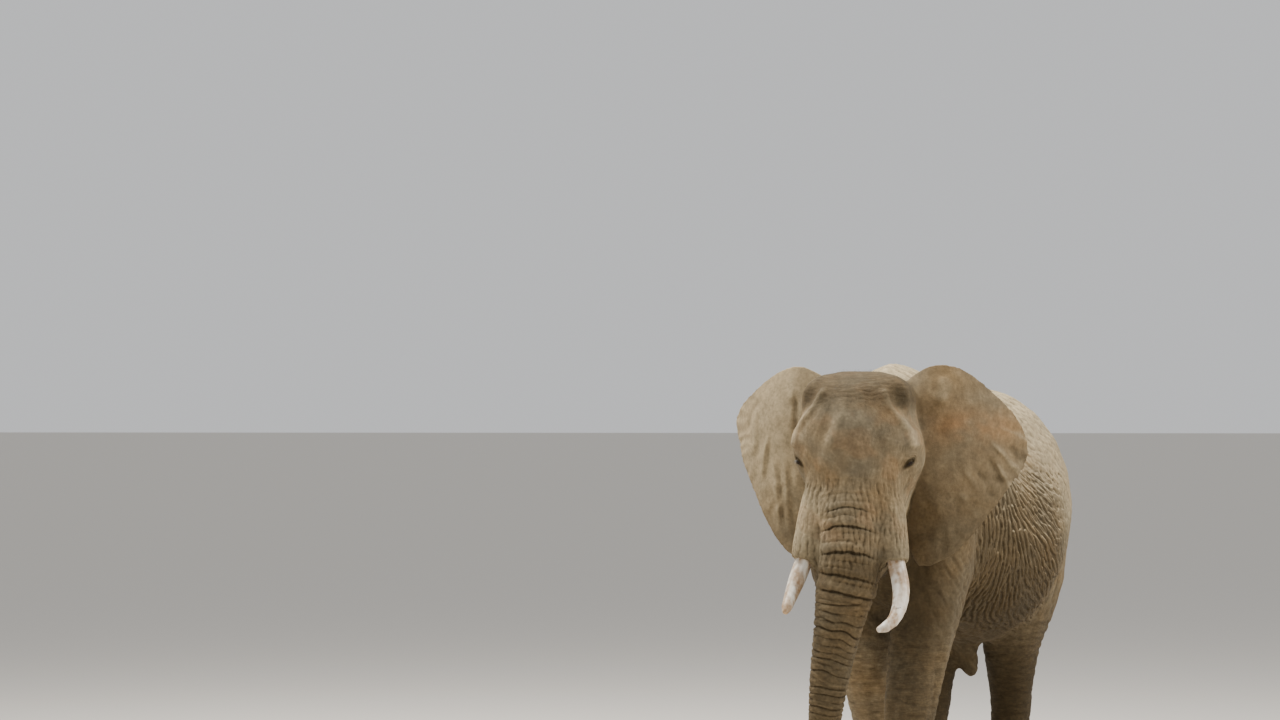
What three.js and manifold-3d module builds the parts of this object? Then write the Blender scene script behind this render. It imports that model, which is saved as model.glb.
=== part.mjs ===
// African bush elephant bull in mid walk, as a still life-size model.
// Millimetres, +Z up. The animal faces -Y, so its left side is +X.
// Every limb is a loft of rings, joined to the body and then parted from it by a thin cut.

import * as THREE from "three";
import { LoftGeometry } from "three/addons/geometries/LoftGeometry.js";
import { mergeVertices } from "three/addons/utils/BufferGeometryUtils.js";
import Module from "manifold-3d";

const wasm = await Module();
wasm.setup();

// ---------------------------------------------------------------- driving dimensions

const EYE_LEVEL = 2436; // height of the eyes above the floor
const NECK_JOINT = new THREE.Vector3(16, -1050, 0); // where neck and head turn on the body, in plan
const HEAD_REACH = 550; // from there forward to the middle of the head, between eyes and ears
const HEAD_TURN = 9; // degrees the face turns to the animal's left
const HEAD_ROLL = 0.6; // degrees the chin swings to the animal's right
const SHOULDER_Y = -720; // where the forelegs hang from
const HIP_Y = 1300; // where the hind legs hang from

// How far each foot lands behind its joint (ahead of it if negative), and how much wider than it hangs.
const FORELEG = { left: { step: -380, spread: -25 }, right: { step: 500, spread: -15 } };
const HIND_LEG = { left: { step: 130, spread: -95 }, right: { step: -640, spread: 85 } };

const SKIN_GAP = 0.6; // what a thin cut takes away between two parts
const SOCKET_GROWTH = 0.003; // share by which a round part is grown to cut its own socket
const EYE_RADIUS = 22;
const TUSK_RADIUS = 61;
const EAR_THICK = { root: 52, rim: 15 };

const HIDE = { color: 0x8a7a68, roughness: 0.95, metalness: 0 };
const IVORY = { color: 0xe9dfcb, roughness: 0.45, metalness: 0 };
const NAIL = { color: 0xb3a58f, roughness: 0.7, metalness: 0 };
const EYE = { color: 0x2a1a10, roughness: 0.15, metalness: 0 };
const HAIR = { color: 0x1d1814, roughness: 0.8, metalness: 0 };

const X = new THREE.Vector3(1, 0, 0);
const Y = new THREE.Vector3(0, 1, 0);
const Z = new THREE.Vector3(0, 0, 1);
const { degToRad, smoothstep, lerp } = THREE.MathUtils;
const point = (x, y, z) => new THREE.Vector3(x, y, z);

// ---------------------------------------------------------------- tools

// Rows of sizes, each headed by its place along a limb, as one smooth function of the place.
function sizesAlong(names, rows) {
  const curve = new THREE.CubicInterpolant(
    rows.map((row) => row[0]),
    rows.flatMap((row) => row.slice(1)),
    names.length,
  );
  return (place) => {
    const values = curve.evaluate(place);
    return Object.fromEntries(names.map((name, i) => [name, values[i]]));
  };
}

const count = (n) => Array.from({ length: n }, (_, i) => i);

// A closed ring about a centre. Power 2 makes an ellipse, a higher power fills out its corners.
function ring(centre, side, up, { across, rise, fall, power = 2, lowPower = power }, corners) {
  return count(corners).map((i) => {
    const angle = (2 * Math.PI * i) / corners;
    const c = Math.cos(angle);
    const s = Math.sin(angle);
    const n = s > 0 ? power : lowPower;
    const reach = (Math.abs(c) ** n + Math.abs(s) ** n) ** (-1 / n);
    return centre
      .clone()
      .addScaledVector(side, across * c * reach)
      .addScaledVector(up, (s > 0 ? rise : fall) * s * reach);
  });
}

// Rings square to a curve, with their sides kept level.
function ringsAlong(curve, sizesAt, steps, corners) {
  return count(steps).map((i) => {
    const t = i / (steps - 1);
    const forward = curve.getTangentAt(t);
    const side = point(0, 0, 0).crossVectors(forward, Y).normalize();
    const up = point(0, 0, 0).crossVectors(side, forward).normalize();
    return ring(curve.getPointAt(t), side, up, sizesAt(t), corners);
  });
}

// A closed body through its rings. Rings that run clockwise, seen from the last one, are turned round.
function loft(rings) {
  const [first, second] = rings;
  const spin = point(0, 0, 0);
  first.forEach((corner, i) => spin.add(corner.clone().cross(first[(i + 1) % first.length])));
  const forward = first.reduce((sum, corner, i) => sum.add(second[i]).sub(corner), point(0, 0, 0));
  const turned = spin.dot(forward) > 0 ? rings : rings.map((corners) => [...corners].reverse());
  return new LoftGeometry(turned, { capStart: true, capEnd: true });
}

// Moves the surface near a place: by the whole push at the place itself, and less further out.
function press(geometry, features) {
  const position = geometry.getAttribute("position");
  for (let i = 0; i < position.count; i++) {
    const from = point(0, 0, 0).fromBufferAttribute(position, i);
    const to = from.clone();
    for (const { at, size, push } of features) {
      const away = from.clone().sub(at).divide(size);
      to.addScaledVector(push, Math.exp(-away.lengthSq()));
    }
    position.setXYZ(i, to.x, to.y, to.z);
  }
  return geometry;
}

const onBothSides = (features) =>
  features.flatMap(({ at, size, push }) =>
    [1, -1].map((s) => ({
      at: point(s * at.x, at.y, at.z),
      size,
      push: point(s * push.x, push.y, push.z),
    })),
  );

// A closed geometry as a solid for joining and cutting.
function solid(geometry, matrix = new THREE.Matrix4()) {
  const bare = new THREE.BufferGeometry();
  bare.setAttribute("position", geometry.getAttribute("position").clone());
  bare.setIndex(geometry.index);
  const merged = mergeVertices(bare.applyMatrix4(matrix), 1e-3);
  const triVerts = new Uint32Array(merged.index.array);
  return new wasm.Manifold(
    new wasm.Mesh({ numProp: 3, vertProperties: merged.attributes.position.array, triVerts }),
  );
}

const joined = (solids) => solids.reduce((a, b) => a.add(b));

// The biggest body of what a cut has left.
const mainBody = (shape) => shape.decompose().sort((a, b) => b.volume() - a.volume())[0];

// The part a little larger about its own middle, to cut a socket that a round part doesn't touch.
function grown(shape, share = SOCKET_GROWTH) {
  const { min, max } = shape.boundingBox();
  const middle = min.map((low, i) => (low + max[i]) / 2);
  return shape
    .translate(middle.map((m) => -m))
    .scale(1 + share)
    .translate(middle);
}

// The part spread a little to every side, to cut a socket that a bent part doesn't touch.
function padded(shape) {
  const shifts = [X, Y, Z].flatMap((way) => [1, -1].map((s) => way.clone().multiplyScalar(s * SKIN_GAP)));
  return joined(shifts.map((shift) => shape.translate(shift.toArray())));
}

// Parts a body at a plane: what lies ahead along the direction, and what lies behind.
function parted(shape, at, direction) {
  const normal = direction.clone().normalize();
  const offset = normal.dot(at);
  return [
    shape.trimByPlane(normal.toArray(), offset + SKIN_GAP / 2),
    shape.trimByPlane(normal.clone().negate().toArray(), -offset + SKIN_GAP / 2),
  ];
}

const root = new THREE.Group();

function show(name, shape, material) {
  const { vertProperties, triVerts } = shape.getMesh();
  const geometry = new THREE.BufferGeometry();
  geometry.setAttribute("position", new THREE.BufferAttribute(vertProperties, 3));
  geometry.setIndex(new THREE.BufferAttribute(triVerts, 1));
  geometry.computeVertexNormals();
  const mesh = new THREE.Mesh(geometry, new THREE.MeshStandardMaterial(material));
  mesh.name = name;
  root.add(mesh);
}

// ---------------------------------------------------------------- torso and neck

// Upright sections from nape to rump: back, belly, half width, and the height at which they are widest.
const torsoAt = sizesAlong(
  ["top", "bottom", "half", "widest", "power", "lowPower"],
  [
    [-1640, 2800, 2200, 260, 2480, 2.0, 2.0],
    [-1480, 2880, 1930, 350, 2430, 2.0, 2.0],
    [-1250, 2930, 1700, 420, 2350, 1.9, 2.0],
    [-980, 3040, 1500, 510, 2200, 1.85, 2.0],
    [-650, 3140, 1370, 600, 2030, 1.8, 2.0],
    [-250, 3080, 1280, 690, 1950, 1.75, 2.1],
    [250, 2970, 1175, 758, 1870, 1.75, 2.0],
    [750, 2945, 1080, 775, 1850, 1.8, 1.95],
    [1130, 2985, 1085, 740, 1980, 1.88, 1.9],
    [1450, 2940, 1300, 655, 2110, 1.95, 1.9],
    [1700, 2775, 1560, 515, 2210, 2.0, 2.0],
    [1860, 2590, 1810, 350, 2230, 2.0, 2.0],
    [1935, 2420, 2020, 180, 2230, 2.0, 2.0],
  ],
);
const TORSO_STEPS = [
  -1640, -1440, -1240, -1060, -880, -680, -440, -160, 150, 460, 750, 1000, 1220, 1420, 1600, 1760, 1880,
  1935,
];
const torsoLoft = solid(
  loft(
    TORSO_STEPS.map((y) => {
      const { top, bottom, half, widest, power, lowPower } = torsoAt(y);
      const sizes = { across: half, rise: top - widest, fall: widest - bottom, power, lowPower };
      return ring(point(0, y, widest), X, Z, sizes, 20);
    }),
  ),
);

const sheathCurve = new THREE.CatmullRomCurve3([
  point(-20, 620, 1230),
  point(-15, 860, 1095),
  point(0, 1000, 965),
  point(5, 1008, 880),
  point(6, 998, 815),
]);
const sheathAt = sizesAlong(
  ["across", "rise", "fall"],
  [
    [0, 90, 70, 70],
    [0.35, 105, 100, 85],
    [0.7, 82, 95, 90],
    [0.9, 66, 70, 70],
    [1, 48, 48, 48],
  ],
);
const prepuceLoft = solid(loft(ringsAlong(sheathCurve, sheathAt, 8, 10)));

// ---------------------------------------------------------------- legs

// Level sections from the sole up: the middle's place out and back from the line of the swinging leg,
// then the half width and the reach ahead and behind.
const LEG_SIZES = ["out", "back", "across", "fall", "rise"];
const foreLegAt = sizesAlong(LEG_SIZES, [
  [0, 0, 0, 216, 224, 214],
  [30, 0, 0, 231, 246, 230],
  [90, 0, 0, 230, 248, 230],
  [200, 0, 0, 203, 216, 202],
  [340, 2, 0, 176, 186, 178],
  [520, 5, 0, 164, 174, 166],
  [720, 8, -10, 170, 186, 164],
  [900, 18, 0, 182, 192, 184],
  [1150, 34, 15, 206, 215, 240],
  [1420, 66, 30, 226, 245, 320],
  [1700, 110, 10, 246, 310, 350],
  [2000, 150, 0, 238, 350, 360],
  [2350, 146, 0, 205, 330, 330],
  [2650, 95, 0, 150, 250, 250],
  [2860, 30, 0, 90, 140, 140],
]);
const hindLegAt = sizesAlong(LEG_SIZES, [
  [0, 0, 0, 188, 220, 212],
  [30, 0, 0, 202, 242, 228],
  [90, 0, 0, 202, 244, 228],
  [200, 0, 10, 176, 196, 192],
  [350, 0, 40, 152, 157, 174],
  [520, 2, 60, 146, 156, 182],
  [720, 8, 35, 162, 192, 184],
  [920, 20, -15, 190, 240, 205],
  [1100, 36, -45, 220, 285, 245],
  [1320, 66, -40, 270, 325, 325],
  [1620, 98, -10, 303, 390, 405],
  [1950, 104, 0, 300, 430, 430],
  [2250, 84, 0, 276, 410, 380],
  [2480, 40, 0, 205, 320, 280],
  [2640, -20, 0, 110, 180, 150],
]);
const FORE_STEPS = [0, 30, 95, 190, 330, 500, 700, 900, 1120, 1360, 1640, 1960, 2300, 2600, 2860];
const HIND_STEPS = [0, 30, 95, 190, 330, 500, 680, 860, 1060, 1280, 1560, 1880, 2200, 2460, 2640];
const LEG_TOP = 1950; // a leg swings from this height
const LEG_OUT = 235; // how far off the middle plane a leg hangs
// A leg is parted from the body here, higher on its inner side.
const LEG_CUT = { x: 420, z: 1780, slope: 1.0 };

const swing = (reach, z) => reach * (1 - smoothstep(z, -250, LEG_TOP));

// A toenail: a rounded plate let into the edge of the foot, `across` degrees from straight ahead.
function nail(side, centre, { across, fall }, turn, size) {
  const angle = degToRad(turn);
  const out = point(side * Math.sin(angle), -Math.cos(angle), 0);
  const reach = Math.hypot(across * Math.sin(angle), fall * Math.cos(angle));
  const place = centre.clone().addScaledVector(out, reach - 22).setZ(size * 0.98);
  const turned = new THREE.Quaternion().setFromUnitVectors(Y.clone().negate(), out);
  const ball = new THREE.SphereGeometry(1, 8, 5).rotateX(Math.PI / 2);
  return solid(ball, new THREE.Matrix4().compose(place, turned, point(size * 1.02, 38, size * 0.9)));
}

const NAIL_TURNS = { fore: [-52, -18, 16, 50], hind: [-40, 0, 38] };

function buildLeg(name, side, isFore, { step, spread }) {
  const at = isFore ? foreLegAt : hindLegAt;
  const jointY = isFore ? SHOULDER_Y : HIP_Y;
  const centreAt = (z) => {
    const { out, back } = at(z);
    return point(side * (LEG_OUT + swing(spread, z) + out), jointY + swing(step, z) + back, z);
  };
  const rings = (isFore ? FORE_STEPS : HIND_STEPS).map((z) =>
    ring(centreAt(z), X, Y, { ...at(z), power: 2.2 }, 14),
  );
  const inward = point(-side * LEG_CUT.slope, 0, 1);
  const [haunch, leg] = parted(solid(loft(rings)), point(side * LEG_CUT.x, jointY, LEG_CUT.z), inward);
  const size = isFore ? 50 : 48;
  const turns = isFore ? NAIL_TURNS.fore : NAIL_TURNS.hind;
  const nails = turns.map((turn) => nail(side, centreAt(60), at(60), turn, size));
  return { name, leg, haunch, nails };
}

const legs = [
  buildLeg("foreleg_left", 1, true, FORELEG.left),
  buildLeg("foreleg_right", -1, true, FORELEG.right),
  buildLeg("hind_leg_left", 1, false, HIND_LEG.left),
  buildLeg("hind_leg_right", -1, false, HIND_LEG.right),
];

// ---------------------------------------------------------------- head, in its own frame

// Level sections of the skull and cheeks, by height from the eyes.
const skullAt = sizesAlong(
  ["widest", "across", "fall", "rise", "power"],
  [
    [-620, 0, 150, 120, 130, 2.2],
    [-540, 0, 230, 250, 250, 2.2],
    [-450, 0, 275, 330, 330, 2.2],
    [-320, 0, 318, 390, 400, 2.2],
    [-200, -10, 348, 400, 450, 2.1],
    [-60, -40, 415, 380, 510, 2.0],
    [80, -80, 446, 345, 570, 2.0],
    [180, -120, 436, 305, 620, 2.0],
    [270, -170, 410, 240, 680, 2.1],
    [350, -200, 394, 180, 710, 2.2],
    [430, -210, 388, 125, 710, 2.3],
    [500, -190, 370, 85, 660, 2.3],
    [555, -150, 322, 60, 570, 2.3],
    [598, -90, 232, 40, 440, 2.2],
    [620, -40, 130, 10, 300, 2.2],
  ],
);
const SKULL_STEPS = [
  -620, -540, -440, -320, -210, -110, -20, 60, 140, 210, 280, 350, 420, 485, 540, 588, 620,
];

// Hollow temples, the ridges over the eyes, the eyes' own hollows, and the swell of the forehead.
const SKULL_FEATURES = [
  ...onBothSides([
    { at: point(290, -290, 440), size: point(85, 130, 95), push: point(-16, 42, -6) },
    { at: point(395, -230, 300), size: point(80, 160, 90), push: point(-24, 16, 0) },
    { at: point(372, -290, 105), size: point(90, 90, 60), push: point(16, -26, 0) },
    { at: point(380, -285, -5), size: point(55, 75, 50), push: point(-14, 22, 0) },
    { at: point(345, -300, -130), size: point(80, 110, 70), push: point(-10, 12, 0) },
  ]),
  { at: point(0, -420, 60), size: point(190, 130, 170), push: point(0, -30, 0) },
  { at: point(0, -360, 330), size: point(150, 130, 130), push: point(0, -16, 0) },
];

const skull = press(
  loft(SKULL_STEPS.map((z) => ring(point(0, skullAt(z).widest, z), X, Y, skullAt(z), 24))),
  SKULL_FEATURES,
);

// The sockets of skin and bone that hold the tusks, one each side of the trunk.
const TUSK_EXIT = point(324, -338, -692);
const socketAt = sizesAlong(
  ["across"],
  [
    [0, 96],
    [0.35, 118],
    [0.75, 108],
    [0.93, 92],
    [1, 74],
  ],
);
function tuskSocket(side) {
  const curve = new THREE.CatmullRomCurve3([
    point(side * 236, -220, -90),
    point(side * 256, -280, -380),
    point(side * TUSK_EXIT.x, TUSK_EXIT.y, TUSK_EXIT.z),
  ]);
  const sizesAt = (t) => {
    const { across } = socketAt(t);
    return { across, rise: across * 1.25, fall: across };
  };
  return loft(ringsAlong(curve, sizesAt, 8, 12));
}

// The lower jaw, from its corner under the ear to the tip of the lip.
const jawCurve = new THREE.CatmullRomCurve3([
  point(0, 200, -400),
  point(0, 125, -560),
  point(0, 5, -690),
  point(0, -85, -810),
  point(0, -140, -935),
]);
const jawAt = sizesAlong(
  ["across", "rise", "fall"],
  [
    [0, 225, 190, 170],
    [0.25, 250, 210, 180],
    [0.5, 205, 190, 150],
    [0.75, 128, 120, 105],
    [0.92, 68, 72, 62],
    [1, 32, 36, 32],
  ],
);
const jaw = loft(ringsAlong(jawCurve, jawAt, 8, 12));

// ---------------------------------------------------------------- trunk, in the head's frame

const trunkCurve = new THREE.CatmullRomCurve3([
  point(0, -150, 40),
  point(0, -250, -220),
  point(0, -305, -480),
  point(-14, -345, -760),
  point(-62, -364, -1050),
  point(-122, -354, -1400),
  point(-166, -318, -1750),
  point(-188, -250, -2050),
  point(-196, -155, -2270),
]);
const trunkAt = sizesAlong(
  ["across", "rise", "fall"],
  [
    [0, 200, 190, 190],
    [0.08, 262, 190, 180],
    [0.17, 292, 190, 175],
    [0.25, 282, 205, 175],
    [0.31, 250, 205, 170],
    [0.38, 214, 188, 162],
    [0.46, 182, 158, 150],
    [0.55, 158, 140, 137],
    [0.65, 139, 124, 122],
    [0.76, 118, 105, 104],
    [0.87, 95, 84, 84],
    [0.95, 78, 68, 68],
    [1, 64, 52, 52],
  ],
);
const trunkLoft = loft(ringsAlong(trunkCurve, trunkAt, 24, 12));
const TRUNK_CUTS = [0.36, 0.58, 0.8]; // where the trunk is divided, as shares of its length

// ---------------------------------------------------------------- ears, in the head's frame

// The ear in plan, from its root on the skull round to its outermost point, and its edges above and below.
const earPlan = new THREE.CatmullRomCurve3([
  point(250, 250, 0),
  point(440, 175, 0),
  point(655, 255, 0),
  point(880, 445, 0),
  point(1035, 715, 0),
]);
const EAR_EDGES = ["top", "bottom"];
const earEdgesAt = {
  left: sizesAlong(EAR_EDGES, [
    [0, 580, -400],
    [0.05, 612, -600],
    [0.12, 648, -700],
    [0.25, 672, -676],
    [0.38, 665, -605],
    [0.5, 615, -490],
    [0.6, 545, -365],
    [0.7, 462, -262],
    [0.8, 385, -165],
    [0.9, 295, -70],
    [0.97, 218, 10],
    [1, 168, 62],
  ]),
  right: sizesAlong(EAR_EDGES, [
    [0, 560, -400],
    [0.05, 592, -590],
    [0.12, 628, -685],
    [0.25, 658, -655],
    [0.38, 640, -555],
    [0.5, 592, -400],
    [0.6, 532, -255],
    [0.7, 468, -120],
    [0.8, 415, 0],
    [0.9, 350, 95],
    [0.97, 300, 155],
    [1, 262, 195],
  ]),
};
const EAR_STEPS = [0, 0.05, 0.12, 0.21, 0.31, 0.41, 0.51, 0.61, 0.71, 0.81, 0.9, 0.965, 1];
const EAR_ROWS = 7; // points from the lower edge to the upper one

function earLoft(side, edgesAt) {
  const sections = EAR_STEPS.map((s) => {
    const { top, bottom } = edgesAt(s);
    const flat = earPlan.getPointAt(s);
    const way = earPlan.getTangentAt(s);
    const facing = point(way.y, -way.x, 0);
    const thick = lerp(EAR_THICK.root, EAR_THICK.rim, smoothstep(s, 0, 0.75)) / 2;
    const face = (front) =>
      count(EAR_ROWS).map((i) => {
        const z = lerp(bottom, top, i / (EAR_ROWS - 1));
        const rim = i === 0 || i === EAR_ROWS - 1 ? 0.55 : 1;
        const wave = 16 * Math.sin(z / 75 + 6 * s) * smoothstep(s, 0.5, 1);
        const lean = 70 * smoothstep(z, 300, 680) + wave;
        const at = flat.clone().addScaledVector(facing, front * thick * rim - lean);
        return point(side * at.x, at.y, z);
      });
    return [...face(1), ...face(-1).reverse()];
  });
  return loft(sections);
}

// ---------------------------------------------------------------- tusks and eyes, in the head's frame

const TUSK_POINTS = {
  left: [
    point(282, -300, -540),
    TUSK_EXIT,
    point(364, -408, -830),
    point(368, -515, -960),
    point(332, -630, -1052),
    point(265, -705, -1088),
  ],
  right: [
    point(-282, -300, -540),
    point(-TUSK_EXIT.x, TUSK_EXIT.y, TUSK_EXIT.z),
    point(-352, -395, -800),
    point(-374, -475, -905),
    point(-388, -568, -998),
  ],
};
// A tusk, or the hole for it when `margin` is more than nothing.
function tuskLoft(points, margin = 0) {
  const curve = new THREE.CatmullRomCurve3(points);
  const sizesAt = (t) => {
    const blunt = Math.sqrt(1 - 0.75 * smoothstep(t, 0.93, 1));
    const radius = TUSK_RADIUS * (1 - 0.42 * smoothstep(t, 0.35, 1.05)) * blunt + margin;
    return { across: radius, rise: radius, fall: radius };
  };
  const deeper = curve.getTangentAt(0).multiplyScalar(-margin);
  return loft(ringsAlong(curve, sizesAt, 12, 10)).translate(deeper.x, deeper.y, deeper.z);
}

const EYE_PLACE = point(371, -212, 8);

// ---------------------------------------------------------------- tail

const tailCurve = new THREE.CatmullRomCurve3([
  point(0, 1700, 2600),
  point(0, 1925, 2540),
  point(5, 2060, 2350),
  point(18, 2077, 2000),
  point(34, 2075, 1600),
  point(48, 2075, 1250),
  point(54, 2077, 1090),
]);
const TAIL_CUT = 0.19; // where the tail leaves its root on the rump, as a share of its length
const tailAt = sizesAlong(
  ["across", "rise", "fall"],
  [
    [0, 100, 90, 90],
    [0.13, 82, 74, 74],
    [0.3, 50, 46, 46],
    [0.6, 33, 32, 32],
    [0.85, 25, 25, 25],
    [1, 18, 20, 20],
  ],
);
const tuftCurve = new THREE.CatmullRomCurve3([
  point(53, 2077, 1088),
  point(56, 2080, 960),
  point(60, 2085, 800),
  point(62, 2089, 660),
]);
const tuftAt = sizesAlong(
  ["across", "rise", "fall"],
  [
    [0, 16, 20, 20],
    [0.25, 26, 46, 46],
    [0.6, 30, 58, 58],
    [0.9, 18, 40, 40],
    [1, 8, 22, 22],
  ],
);

// ---------------------------------------------------------------- joining and parting

const turn = new THREE.Quaternion()
  .setFromAxisAngle(Z, degToRad(HEAD_TURN))
  .multiply(new THREE.Quaternion().setFromAxisAngle(Y, degToRad(HEAD_ROLL)));
const headPlace = point(0, -HEAD_REACH, EYE_LEVEL).applyAxisAngle(Z, degToRad(HEAD_TURN)).add(NECK_JOINT);
const headFrame = new THREE.Matrix4().compose(headPlace, turn, point(1, 1, 1));
const inHead = (at) => at.clone().applyMatrix4(headFrame);
const headWay = (way) => way.clone().applyQuaternion(turn);

let trunkRest = solid(trunkLoft, headFrame);
const [trunkRoot, ...trunkLengths] = [...TRUNK_CUTS, 1].map((share) => {
  if (share === 1) return trunkRest;
  const cut = [inHead(trunkCurve.getPointAt(share)), headWay(trunkCurve.getTangentAt(share))];
  const [below, above] = parted(trunkRest, ...cut);
  trunkRest = below;
  return above;
});

const eyes = [1, -1].map((side) => {
  const place = inHead(point(side * EYE_PLACE.x, EYE_PLACE.y, EYE_PLACE.z));
  return solid(new THREE.SphereGeometry(EYE_RADIUS, 8, 6), new THREE.Matrix4().makeTranslation(place));
});
const tusks = Object.values(TUSK_POINTS).map((points) => solid(tuskLoft(points), headFrame));
const tuskHoles = Object.values(TUSK_POINTS).map((points) => solid(tuskLoft(points, SKIN_GAP), headFrame));

const NECK_FRONT = point(0, 330, 0); // the cut between head and neck, in the head's frame
const NECK_BACK = point(0, -1040, 2300); // the cut between neck and torso

const body = joined([torsoLoft, prepuceLoft, ...legs.map(({ haunch }) => haunch)]);
const [behindNeck, ahead] = parted(body, NECK_BACK, point(0, 1, -0.1));
const [neck, throat] = parted(ahead, inHead(NECK_FRONT), headWay(point(0, 1, 0.1)));
const head = joined([
  solid(skull, headFrame),
  solid(tuskSocket(1), headFrame),
  solid(tuskSocket(-1), headFrame),
  trunkRoot,
  throat,
]);
const headSocket = padded(head);
const eyesOut = eyes.reduce((rest, eye) => rest.subtract(grown(eye, 0.03)), head);
const face = tuskHoles.reduce((rest, hole) => rest.subtract(hole), eyesOut);
const wholeTail = solid(loft(ringsAlong(tailCurve, tailAt, 12, 8)));
const tailCutAt = tailCurve.getPointAt(TAIL_CUT);
const [tail, tailRoot] = parted(wholeTail, tailCutAt, tailCurve.getTangentAt(TAIL_CUT));
const tuft = solid(loft(ringsAlong(tuftCurve, tuftAt, 6, 7)));
const torso = legs.reduce((rest, { leg }) => rest.subtract(grown(leg)), behindNeck.add(tailRoot));

show("torso", mainBody(torso), HIDE);
show("neck", mainBody(neck.subtract(grown(head))), HIDE);
show("head", mainBody(face), HIDE);
const jawSockets = [headSocket, padded(neck), padded(trunkLengths[0])];
const jawBody = jawSockets.reduce((rest, socket) => rest.subtract(socket), solid(jaw, headFrame));
show("jaw", mainBody(jawBody), HIDE);
trunkLengths.forEach((shape, i) => show(["trunk_upper", "trunk_middle", "trunk_tip"][i], shape, HIDE));
for (const [name, edgesAt] of Object.entries(earEdgesAt)) {
  const ear = solid(earLoft(name === "left" ? 1 : -1, edgesAt), headFrame);
  show(`ear_${name}`, mainBody(ear.subtract(headSocket).subtract(padded(neck))), HIDE);
}
eyes.forEach((shape, i) => show(["eye_left", "eye_right"][i], shape, EYE));
tusks.forEach((shape, i) => show(["tusk_left", "tusk_right"][i], shape, IVORY));
for (const { name, leg, nails } of legs) {
  show(name, leg, HIDE);
  nails.forEach((part, i) => show(`${name}_nail_${i + 1}`, mainBody(part.subtract(grown(leg))), NAIL));
}
show("tail", tail.subtract(padded(tuft)), HIDE);
show("tail_tuft", tuft, HAIR);

const box = new THREE.Box3().setFromObject(root);
const middle = box.getCenter(point(0, 0, 0));
root.position.set(-middle.x, -middle.y, -box.min.z);

export default root;
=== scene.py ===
"""A life-size still model of a walking African bush elephant bull: hide, eyes, tusks, toenails, hair."""
import math

import bpy
import numpy as np
import openvdb
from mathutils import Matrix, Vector


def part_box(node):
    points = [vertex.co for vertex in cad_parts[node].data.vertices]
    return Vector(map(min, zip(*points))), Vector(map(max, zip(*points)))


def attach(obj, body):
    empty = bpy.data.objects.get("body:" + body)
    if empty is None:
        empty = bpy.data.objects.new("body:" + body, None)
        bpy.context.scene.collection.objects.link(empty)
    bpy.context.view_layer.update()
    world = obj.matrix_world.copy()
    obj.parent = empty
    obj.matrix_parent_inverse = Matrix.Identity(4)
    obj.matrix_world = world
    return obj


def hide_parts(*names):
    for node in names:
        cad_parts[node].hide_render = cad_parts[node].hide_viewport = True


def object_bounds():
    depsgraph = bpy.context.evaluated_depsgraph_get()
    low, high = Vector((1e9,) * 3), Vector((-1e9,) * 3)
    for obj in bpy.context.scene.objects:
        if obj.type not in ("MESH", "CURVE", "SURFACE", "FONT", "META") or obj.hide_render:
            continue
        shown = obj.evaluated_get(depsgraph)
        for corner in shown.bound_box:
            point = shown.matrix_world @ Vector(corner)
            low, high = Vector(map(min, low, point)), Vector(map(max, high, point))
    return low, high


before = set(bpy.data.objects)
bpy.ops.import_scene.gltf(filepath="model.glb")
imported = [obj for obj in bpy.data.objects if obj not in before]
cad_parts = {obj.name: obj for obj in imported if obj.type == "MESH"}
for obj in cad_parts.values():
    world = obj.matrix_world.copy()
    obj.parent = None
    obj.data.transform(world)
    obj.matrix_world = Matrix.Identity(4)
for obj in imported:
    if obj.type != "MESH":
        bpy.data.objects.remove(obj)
cad_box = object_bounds()
rng = np.random.default_rng(12)

# ------------------------ sizes, in metres
CELL = 0.010       # spacing of the hide's mesh
SOFT_CELL = 0.020                      # spacing of the field in which the big forms are smoothed
ZONE_CELL = 0.040                      # spacing of the fields that tell one part of the body from another
ZONE_REACH = 0.29                      # how far those fields reach
HIDE_DEPTH = 0.002                     # the hide lies this far inside the solids
EYE_RADIUS = 0.022
JOIN = 0.004                           # gaps between the nodes narrower than twice this are closed,
JOIN_CELL = 0.010                      # on a field of this spacing
FACE_FILL = 0.045                      # valleys of the face narrower than twice this are filled
TAIL_HAIRS = 620
BRISTLES = 2200

LEGS = ["foreleg_left", "foreleg_right", "hind_leg_left", "hind_leg_right"]
TRUNK = ["trunk_upper", "trunk_middle", "trunk_tip"]
CORE = ["torso", "neck", "head", "jaw", "tail"] + TRUNK + LEGS
EARS = ["ear_left", "ear_right"]
NAILS = [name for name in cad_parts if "nail" in name]


# ------------------------ small numeric tools
def smooth(value, low, high):
    """0 at low, 1 at high, with an even slope between; low may be the larger."""
    t = np.clip((value - low) / (high - low), 0, 1)
    return t * t * (3 - 2 * t)


def bell(value, centre, width):
    """1 at the centre, falling to 0 like a bell of that width."""
    return np.exp(-((value - centre) / width) ** 2)


def unit(vectors):
    return vectors / (np.linalg.norm(vectors, axis=-1, keepdims=True) + 1e-12)


def dot(a, b):
    return (a * b).sum(-1)


def box_corners(name):
    """A node's lowest and highest corners."""
    return np.array(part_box(name))


# ------------------------ solids to fields and back
def node_surface(names):
    points, triangles, start = [], [], 0
    for name in names:
        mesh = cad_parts[name].data
        mesh.calc_loop_triangles()
        spots = np.empty(len(mesh.vertices) * 3, np.float32)
        corners = np.empty(len(mesh.loop_triangles) * 3, np.int32)
        mesh.vertices.foreach_get("co", spots)
        mesh.loop_triangles.foreach_get("vertices", corners)
        points.append(spots.reshape(-1, 3))
        triangles.append(corners.reshape(-1, 3) + start)
        start += len(mesh.vertices)
    return np.concatenate(points), np.concatenate(triangles).astype(np.uint32)


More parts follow.
